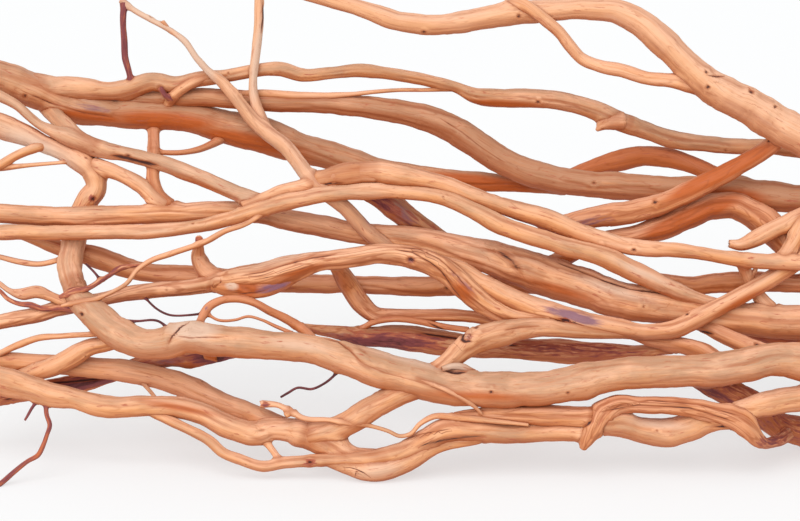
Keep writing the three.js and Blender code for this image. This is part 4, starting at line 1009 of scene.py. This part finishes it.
def close_limb(limb):
    """All rings and both end points of a limb, with the marks of each corner."""
    front, first_point = end_rings(limb, False, limb["name"] in BROKEN_STARTS)
    back, last_point = end_rings(limb, True, limb["name"] in BROKEN_ENDS)
    body = limb["points"]
    rings = np.concatenate([np.array(front[::-1]), body, np.array(back)])
    count = len(body)
    row = np.concatenate([np.zeros(len(front), int), np.arange(count), np.full(len(back), count - 1)])
    beyond = np.concatenate([-np.arange(len(front), 0, -1), np.zeros(count), np.arange(1, len(back) + 1)])
    torn = np.zeros(len(rings))
    if limb["name"] in BROKEN_STARTS:
        torn[: len(front)] = 1
    if limb["name"] in BROKEN_ENDS:
        torn[-len(back):] = 1
    return rings, row, beyond, torn, first_point, last_point

# %% [markdown]
# ## From rings to pieces
# One group of limbs becomes one mesh. Each corner keeps five things for the wood's finish: a place in
# the grain, in millimetres along the limb and round it; four marks, which are bark, bleached with some
# painted highlight, torn and deep orange with some painted shade; four more, which are the painted shade
# of grooves, the painted shade where limbs touch, lilac, and weathering with painted shade on the back
# limbs; its place within the nearest knot; and its distance from the nearest line.

# %% Build the pieces
# A corner this far below its neighbours gets the full painted shade of a groove.
FULL_GROOVE_MM = 0.45


def limb_mesh(limb):
    """Points, four-sided faces, end triangles and the fields of one closed limb."""
    rings, row, beyond, torn, first_point, last_point = close_limb(limb)
    count, sides = rings.shape[:2]
    points = np.concatenate([rings.reshape(-1, 3), [first_point, last_point]])
    ring_start = np.arange(count - 1)[:, None] * sides
    corner = np.arange(sides)[None, :]
    after = (corner + 1) % sides
    near, near_after = ring_start + corner, ring_start + after
    quads = np.stack([near, near_after, near_after + sides, near + sides], -1)
    first, last = len(points) - 2, len(points) - 1
    tail = (count - 1) * sides
    fans = [(first, int(b), int(a)) for a, b in zip(corner[0], after[0])]
    fans += [(last, int(tail + a), int(tail + b)) for a, b in zip(corner[0], after[0])]
    around = limb["grain_round"][row]
    radius = limb["radius"][row][:, None]
    along_mm = np.broadcast_to(limb["length"][row][:, None] + beyond[:, None], around.shape)
    grain = np.stack([along_mm, radius * np.cos(around / radius), radius * np.sin(around / radius)], -1)
    grain = grain + limb["offset"]
    bark = limb["bark"] + limb["bark_patch"][row]
    pale = np.clip(limb["pale"] + limb["pale_patch"][row], 0, 1)
    deep = np.clip(limb["deep"] + limb["deep_patch"][row], -1, 1) * 0.5 + 0.5
    height = limb["height"]
    level = height - (height + np.roll(height, 3, 1) + np.roll(height, -3, 1)) / 3
    # Painted shade in low places: darker the further a corner lies below its neighbours.
    groove = np.clip(-level / FULL_GROOVE_MM, 0, 1)[row]
    # One darkening share for each limb: weathering, and painted shade on the back limbs.
    weathered_and_shaded = np.full(bark.shape, WEATHERED_AND_SHADED_LIMBS.get(limb["name"], WEATHERED_AND_SHADED_ELSEWHERE))
    torn = np.broadcast_to(torn[:, None], bark.shape)
    marks = np.stack([bark, pale, torn, deep], -1)
    hollows = np.stack([groove, limb["crease"][row], limb["lilac_patch"][row], weathered_and_shaded], -1)
    fields = [grain, marks, hollows, limb["knots"][row], limb["lines"][row]]
    for number, field in enumerate(fields):
        flat = field.reshape(-1, field.shape[-1])
        fields[number] = np.concatenate([flat, field[0, :1], field[-1, :1]])
    return points, quads.reshape(-1, 4), fans, fields


def make_piece(piece_name, names):
    """One mesh of several limbs, with every field kept on its corners."""
    skins = [limb_mesh(limbs[name]) for name in names]
    base = np.cumsum([0] + [len(skin[0]) for skin in skins])
    quads = np.concatenate([skin[1] + base[i] for i, skin in enumerate(skins)])
    fans = np.concatenate([np.array(skin[2]) + base[i] for i, skin in enumerate(skins)])
    points = np.concatenate([skin[0] for skin in skins])
    points[:, 2] = np.maximum(points[:, 2], 0)
    mesh = bpy.data.meshes.new(piece_name)
    mesh.vertices.add(len(points))
    mesh.vertices.foreach_set("co", (points * MM).astype(np.float32).ravel())
    corners = np.concatenate([quads.ravel(), fans.ravel()])
    starts = np.concatenate([np.arange(len(quads)) * 4, len(quads) * 4 + np.arange(len(fans)) * 3])
    mesh.loops.add(len(corners))
    mesh.loops.foreach_set("vertex_index", corners.astype(np.int32))
    mesh.polygons.add(len(starts))
    mesh.polygons.foreach_set("loop_start", starts.astype(np.int32))
    mesh.polygons.foreach_set("use_smooth", np.ones(len(starts), bool))
    mesh.update(calc_edges=True)
    mesh.validate()
    for number, name in enumerate(("grain", "marks", "hollows", "knots", "lines")):
        values = np.concatenate([skin[3][number] for skin in skins])
        kind, key = ("FLOAT_COLOR", "color") if values.shape[1] == 4 else ("FLOAT_VECTOR", "vector")
        attribute = mesh.attributes.new(name, kind, "POINT")
        attribute.data.foreach_set(key, values.astype(np.float32).ravel())
    piece = bpy.data.objects.new(piece_name, mesh)
    bpy.context.scene.collection.objects.link(piece)
    return piece


pieces = {}
for group_name, group in LIMBS.items():
    pieces[group_name] = make_piece(group_name, list(group))
    faces = pieces[group_name].data.polygons
    print(group_name, "has", sum(len(f.vertices) - 2 for f in faces), "triangles")

# %% [markdown]
# ## Bare wood, water-worn
# Softwood root with the bark gone, pink-tan and orange. Tops are painted pinker, a painted highlight that
# also stands for sun bleaching, and undersides deep orange, painted shade over the wood's own orange. The
# surface is dull to satin. Its streaks follow the grain: yearly rings show as lines about 2 to 4 mm apart,
# and the fibres as hairlines under a millimetre, drawn as fine as the picture can hold. Colours are given in
# sRGB hex and turned to linear by one function.

# %% Colours
def linear(hex_colour):
    """The linear colour, with full alpha, of an sRGB hex value."""
    channels = [int(hex_colour[i : i + 2], 16) / 255 for i in (1, 3, 5)]
    return [c / 12.92 if c <= 0.04045 else ((c + 0.055) / 1.055) ** 2.4 for c in channels] + [1.0]


ROOT_TAN = "#D89A69"
SUN_TAN = "#E3AB84"
# Pink of the painted highlight on tops, which also stands for sun bleaching.
TOP_HIGHLIGHT_PINK = "#DCAA90"
RING_ORANGE = "#BF7440"
# Deep orange of the wood, also used as painted shade on undersides.
DEEP_ORANGE_AND_SHADE = "#AE4E0A"
# Brown of cracks, knots, flecks, ring lines and torn ends, and of painted shade in grooves and where limbs
# touch.
MARK_AND_SHADE_BROWN = "#96491F"
# Darker, duller tan: weathering, and painted shade on the back limbs.
WEATHERED_AND_SHADED_TAN = "#A67E61"
# Bleached wood, also used as painted highlight in the pale patches.
BLEACHED_AND_HIGHLIGHT = "#CCAC96"
BARK_PURPLE = "#743A40"
BARK_RED = "#A95C42"
LILAC = "#765269"
# Near-black of pits, dark bark and cracks, also of painted shadow lines.
PIT_AND_SHADOW_BROWN = "#35191A"

print("bare wood is", ROOT_TAN, "and its bark", BARK_PURPLE)

# %% One helper for every node
def add_node(tree, kind, inputs, output=0, **settings):
    """A node with its settings, and its inputs set to values or linked from other nodes' outputs."""
    node = tree.nodes.new("ShaderNode" + kind)
    for key, value in settings.items():
        setattr(node, key, value)
    for key, value in inputs.items():
        if isinstance(value, bpy.types.NodeSocket):
            tree.links.new(value, node.inputs[key])
        else:
            node.inputs[key].default_value = value
    return node.outputs[output]

# %% The marks that the mesh carries
root_wood = bpy.data.materials.new("water_worn_root_wood")
root_wood.use_nodes = True
tree = root_wood.node_tree
shader = tree.nodes["Principled BSDF"]
grain = add_node(tree, "Attribute", {}, "Vector", attribute_name="grain")
shares = {}
for attribute, red, green, blue, alpha in (
    ("marks", "bark", "pale", "torn", "deep"), ("hollows", "groove", "crease", "lilac", "weathered_and_shaded"),
):
    colour = add_node(tree, "Attribute", {}, "Color", attribute_name=attribute)
    for channel, name in (("Red", red), ("Green", green), ("Blue", blue)):
        shares[name] = add_node(tree, "SeparateColor", {0: colour}, channel)
    shares[alpha] = add_node(tree, "Attribute", {}, "Alpha", attribute_name=attribute)
knots = add_node(tree, "Attribute", {}, "Vector", attribute_name="knots")
shares["knot"] = add_node(tree, "SeparateXYZ", {0: knots}, "Z")
in_knot = add_node(tree, "VectorMath", {0: knots, 1: (1, 1, 0)}, operation="MULTIPLY")
shares["from_knot"] = add_node(tree, "VectorMath", {0: in_knot}, "Value", operation="LENGTH")
lines = add_node(tree, "Attribute", {}, "Vector", attribute_name="lines")
beside_line = add_node(tree, "SeparateXYZ", {0: lines}, "X")
shares["from_line"] = add_node(tree, "Math", {0: beside_line}, operation="ABSOLUTE")
shares["line_dark"] = add_node(tree, "SeparateXYZ", {0: lines}, "Y")
shares["ringed"] = add_node(tree, "SeparateXYZ", {0: lines}, "Z")
# How far the surface faces up: it lays a painted pink highlight on tops and painted orange shade below.
normal = add_node(tree, "NewGeometry", {}, "Normal")
shares["upward"] = add_node(tree, "SeparateXYZ", {0: normal}, "Z")
print("marks on the mesh:", ", ".join(shares))

# %% [markdown]
# Every pattern is noise that is drawn out along the grain. Its width round the limb is the real gap
# between two rings or two fibres. Real fibres are a tenth of a millimetre wide: they are drawn ten times as
# coarse, or the picture couldn't hold them.

# %% Patterns of the grain
RING_GAP_MM = 3.4
FIBRE_GAP_MM = 1.5
TONE_PATCH_MM = 34
WEATHER_PATCH_MM = 15
RING_FLOW_MM = 13
FLECK_MM = 1.6
BARK_FLAKE_MM = 2.6
for name, gap_mm, drawn_out, detail, distortion in (
    ("rings", RING_GAP_MM, 24, 3.0, 0.25),
    ("fibres", FIBRE_GAP_MM, 20, 3.0, 0.1),
    ("tones", TONE_PATCH_MM, 3.5, 3.0, 0.4),
    ("flecks", FLECK_MM, 3.5, 1.0, 0.0),
    ("flakes", BARK_FLAKE_MM, 7.0, 5.0, 0.4),
    ("weather", WEATHER_PATCH_MM, 4.0, 4.0, 0.3),
    ("ring_flow", RING_FLOW_MM, 12.0, 1.5, 0.0),
):
    widths = (1 / (gap_mm * drawn_out), 1 / gap_mm, 1 / gap_mm)
    place_in_grain = add_node(tree, "VectorMath", {0: grain, 1: widths}, operation="MULTIPLY")
    shares[name] = add_node(tree, "TexNoise", {
        "Vector": place_in_grain, "Scale": 1.0, "Detail": detail, "Roughness": 0.6, "Distortion": distortion,
    })
    print(name, "are", gap_mm, "mm wide and", gap_mm * drawn_out, "mm long")

# %% [markdown]
# ## The colour, laid on in coats
# The first coat is bare wood. Each further coat has a colour and a share, and the share is a mark or a
# pattern whose range is stretched: low is where the coat begins to show and high where it is full. By the
# way a surface faces, tops get a painted highlight in pink, which also stands for sun bleaching, and
# undersides get painted shade in deep orange.

# %% Patterns spread out
# Noise stays mostly between these two values.
NOISE_LOW, NOISE_HIGH = 0.3, 0.7
for name, pattern, low, high in (
    ("ragged", "flakes", -0.5, 0.5), ("streaky", "fibres", -0.35, 0.35), ("patchy", "weather", -0.5, 0.5),
    ("fibre_roughness", "fibres", 0.52, 0.72),
):
    values = {"Value": shares[pattern], "From Min": NOISE_LOW, "From Max": NOISE_HIGH}
    values.update({"To Min": low, "To Max": high})
    shares[name] = add_node(tree, "MapRange", values)
print("ragged edges, streaks and patches are ready")

# %% [markdown]
# A mark alone has a smooth edge. Each field adds a ragged or streaky pattern to it, so that bark and
# weathering break up at their edges. A knot fades from its middle and a crack from its line. The ring
# lines are the steps of a slow noise, where the limb is fluted.

# %% Fields with ragged edges
RINGS_PER_FLOW = 9
for name, operation, first, second in (
    ("bark_field", "ADD", "bark", "ragged"),
    ("ragged_lilac", "MULTIPLY", "ragged", 0.7),
    ("lilac_field", "ADD", "lilac", "ragged_lilac"),
    ("weather_and_shade_field", "ADD", "weathered_and_shaded", "patchy"),
    ("round_knot", "SUBTRACT", "knot", "from_knot"),
    ("knot_streaks", "MULTIPLY", "streaky", 0.9),
    ("knot_field", "ADD", "round_knot", "knot_streaks"),
    ("line_strength", "MULTIPLY", "line_dark", 1.3),
    ("line_streaks", "ADD", "from_line", "streaky"),
    ("line_field", "SUBTRACT", "line_strength", "line_streaks"),
    ("ring_steps", "MULTIPLY", "ring_flow", RINGS_PER_FLOW),
    ("ring_level", "PINGPONG", "ring_steps", 0.5),
    ("ring_width", "MULTIPLY", "ringed", 0.16),
    ("ring_line", "SUBTRACT", "ring_width", "ring_level"),
):
    pair = {0: shares.get(first, first), 1: shares.get(second, second)}
    shares[name] = add_node(tree, "Math", pair, operation=operation)
print(len(shares), "marks, patterns and fields")

# %% The coats
COATS = (
    (SUN_TAN, "tones", 0.40, 0.62, 1.0),
    # Painted highlight: tops pinker the more the surface faces up, also standing for sun bleaching.
    (TOP_HIGHLIGHT_PINK, "upward", 0.05, 0.95, 0.55),
    (RING_ORANGE, "rings", 0.50, 0.72, 0.45),
    (BLEACHED_AND_HIGHLIGHT, "rings", 0.44, 0.26, 0.30),
    # Darker, duller coat: weathering, and painted shade on the back limbs.
    (WEATHERED_AND_SHADED_TAN, "weather_and_shade_field", 0.35, 1.05, 0.8),
    # Painted shade: undersides deep orange the more the surface faces down.
    (DEEP_ORANGE_AND_SHADE, "upward", 0.15, -0.85, 0.80),
    (RING_ORANGE, "fibres", 0.54, 0.76, 0.45),
    (BLEACHED_AND_HIGHLIGHT, "deep", 0.5, 0.2, 0.6),
    # Deep orange from the deep mark: the wood's own orange, and painted shade where the patches lie on
    # undersides.
    (DEEP_ORANGE_AND_SHADE, "deep", 0.5, 0.95, 0.9),
    (MARK_AND_SHADE_BROWN, "ring_line", -0.06, 0.06, 0.5),
    # Painted shade in grooves and low places.
    (MARK_AND_SHADE_BROWN, "groove", 0.15, 1.0, 0.55),
    # Painted shade where limbs touch.
    (MARK_AND_SHADE_BROWN, "crease", 0.30, 1.0, 0.55),
    # Bleached wood, with painted highlight from the pale patches on upper sides.
    (BLEACHED_AND_HIGHLIGHT, "pale", 0.05, 0.9, 0.85),
    (MARK_AND_SHADE_BROWN, "torn", 0.2, 1.0, 0.35),
    (MARK_AND_SHADE_BROWN, "flecks", 0.79, 0.84, 0.45),
    (LILAC, "lilac_field", 0.3, 0.85, 0.85),
    (BARK_RED, "bark_field", 0.28, 0.50, 0.9),
    (BARK_PURPLE, "bark_field", 0.50, 0.90, 0.9),
    (PIT_AND_SHADOW_BROWN, "bark_field", 1.05, 1.5, 0.7),
    (MARK_AND_SHADE_BROWN, "knot_field", -0.1, 0.45, 0.55),
    (PIT_AND_SHADOW_BROWN, "knot_field", 0.46, 0.72, 0.85),
    (MARK_AND_SHADE_BROWN, "line_field", -0.5, 0.2, 0.55),
    # Cracks, and lines of painted shadow.
    (PIT_AND_SHADOW_BROWN, "line_field", 0.3, 0.75, 0.92),
)
print(len(COATS), "coats go over bare wood")

# %% Lay on the coats
wood = linear(ROOT_TAN)
for colour, name, low, high, most in COATS:
    spread = {"Value": shares[name], "From Min": low, "From Max": high, "To Max": most}
    share = add_node(tree, "MapRange", spread)
    wood = add_node(tree, "Mix", {0: share, 6: wood, 7: linear(colour)}, 2, data_type="RGBA")
tree.links.new(wood, shader.inputs["Base Color"])
print("the last coat is on")

# %% [markdown]
# Bare wood that water has worn has a dull satin sheen, and bark is rougher. Rings and fibres also stand up
# as relief too fine for the mesh, about a millimetre for rings and less for fibres, and knots and cracks
# dip a little more. A negative depth turns the relief inwards.

# %% Feel of the worn wood
bark_edge = {"Value": shares["bark_field"], "From Min": 0.3, "From Max": 0.6, "To Max": 0.2}
rough_bark = add_node(tree, "MapRange", bark_edge)
roughness = add_node(tree, "Math", {0: shares["fibre_roughness"], 1: rough_bark}, operation="ADD")
tree.links.new(roughness, shader.inputs["Roughness"])
shader.inputs["IOR"].default_value = 1.5
shader.inputs["Specular IOR Level"].default_value = 0.3
for name, field in (("knot_pit", "knot_field"), ("line_dip", "line_field")):
    values = {"Value": shares[field], "From Min": NOISE_LOW, "From Max": NOISE_HIGH}
    shares[name] = add_node(tree, "MapRange", values)
relief = None
for name, depth_mm, strength in (
    ("rings", 1.1, 0.6), ("fibres", 0.7, 0.6), ("ragged", 0.5, 0.15), ("ring_level", 0.5, 0.25),
    ("knot_pit", -0.8, 0.4), ("line_dip", -0.8, 0.4),
):
    inputs = {"Strength": strength, "Distance": abs(depth_mm) * MM, "Height": shares[name]}
    if relief is not None:
        inputs["Normal"] = relief
    relief = add_node(tree, "Bump", inputs, invert=depth_mm < 0)
tree.links.new(relief, shader.inputs["Normal"])
print("worn wood has", len(tree.nodes), "nodes")

# %% Dress the pieces
for piece in pieces.values():
    piece.data.materials.append(root_wood)
    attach(piece, "root")
    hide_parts("driftwood_root")

# %% [markdown]
# ## Studio
# The root lies on a white light table under one broad soft light from above, with a white room all
# round. The table gives off some light of its own, so that shadows on it stay pale and neutral.

# %% Floor and light
FLOOR_HALF = 14.0
TABLE_COLOUR = (0.338, 0.344, 0.348, 1)
TABLE_GLOW = 0.56
ROOM_LIGHT = 0.76
LIGHT_ENERGY = 2.4
LIGHT_SPREAD_DEG = 60
LIGHT_TILT_DEG = (45, -24, 0)
floor_mesh = bpy.data.meshes.new("studio_floor")
floor_corners = [(x * FLOOR_HALF, y * FLOOR_HALF, 0) for x, y in ((-1, -1), (1, -1), (1, 1), (-1, 1))]
floor_mesh.from_pydata(floor_corners, [], [(0, 1, 2, 3)])
floor = bpy.data.objects.new("studio_floor", floor_mesh)
bpy.context.scene.collection.objects.link(floor)
opal = bpy.data.materials.new("opal_acrylic_light_table")
opal.use_nodes = True
table = opal.node_tree.nodes["Principled BSDF"].inputs
table["Base Color"].default_value = TABLE_COLOUR
table["Roughness"].default_value = 0.95
table["Specular IOR Level"].default_value = 0.0
table["Emission Color"].default_value = (1, 1, 1, 1)
table["Emission Strength"].default_value = TABLE_GLOW
floor_mesh.materials.append(opal)
floor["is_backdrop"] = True

world = bpy.data.worlds.new("white_room")
bpy.context.scene.world = world
world.use_nodes = True
room = world.node_tree.nodes["Background"].inputs
room["Color"].default_value = (1, 1, 1, 1)
room["Strength"].default_value = ROOM_LIGHT

sun_data = bpy.data.lights.new("broad_soft_light", "SUN")
sun_data.energy = LIGHT_ENERGY
sun_data.angle = math.radians(LIGHT_SPREAD_DEG)
sun = bpy.data.objects.new("broad_soft_light", sun_data)
sun.rotation_euler = [math.radians(turn) for turn in LIGHT_TILT_DEG]
bpy.context.scene.collection.objects.link(sun)
print("studio ready")

# %% Camera
SENSOR_MM = 36
eye = (middle - EYE_DISTANCE * inward) * MM
camera_data = bpy.data.cameras.new("front_camera")
camera_data.sensor_width = SENSOR_MM
camera_data.lens = SENSOR_MM * EYE_DISTANCE / FRONT_WIDTH
camera = bpy.data.objects.new("front_camera", camera_data)
camera.location = eye
camera.rotation_euler = (math.radians(90 - LEAN_DEG), 0, 0)
bpy.context.scene.collection.objects.link(camera)
bpy.context.scene.camera = camera
bpy.context.scene.view_settings.view_transform = "Standard"
print("camera at", [round(c, 3) for c in eye])

# %% Measure and finish
low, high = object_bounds()
print("visual box from", [round(c, 3) for c in low], "to", [round(c, 3) for c in high])
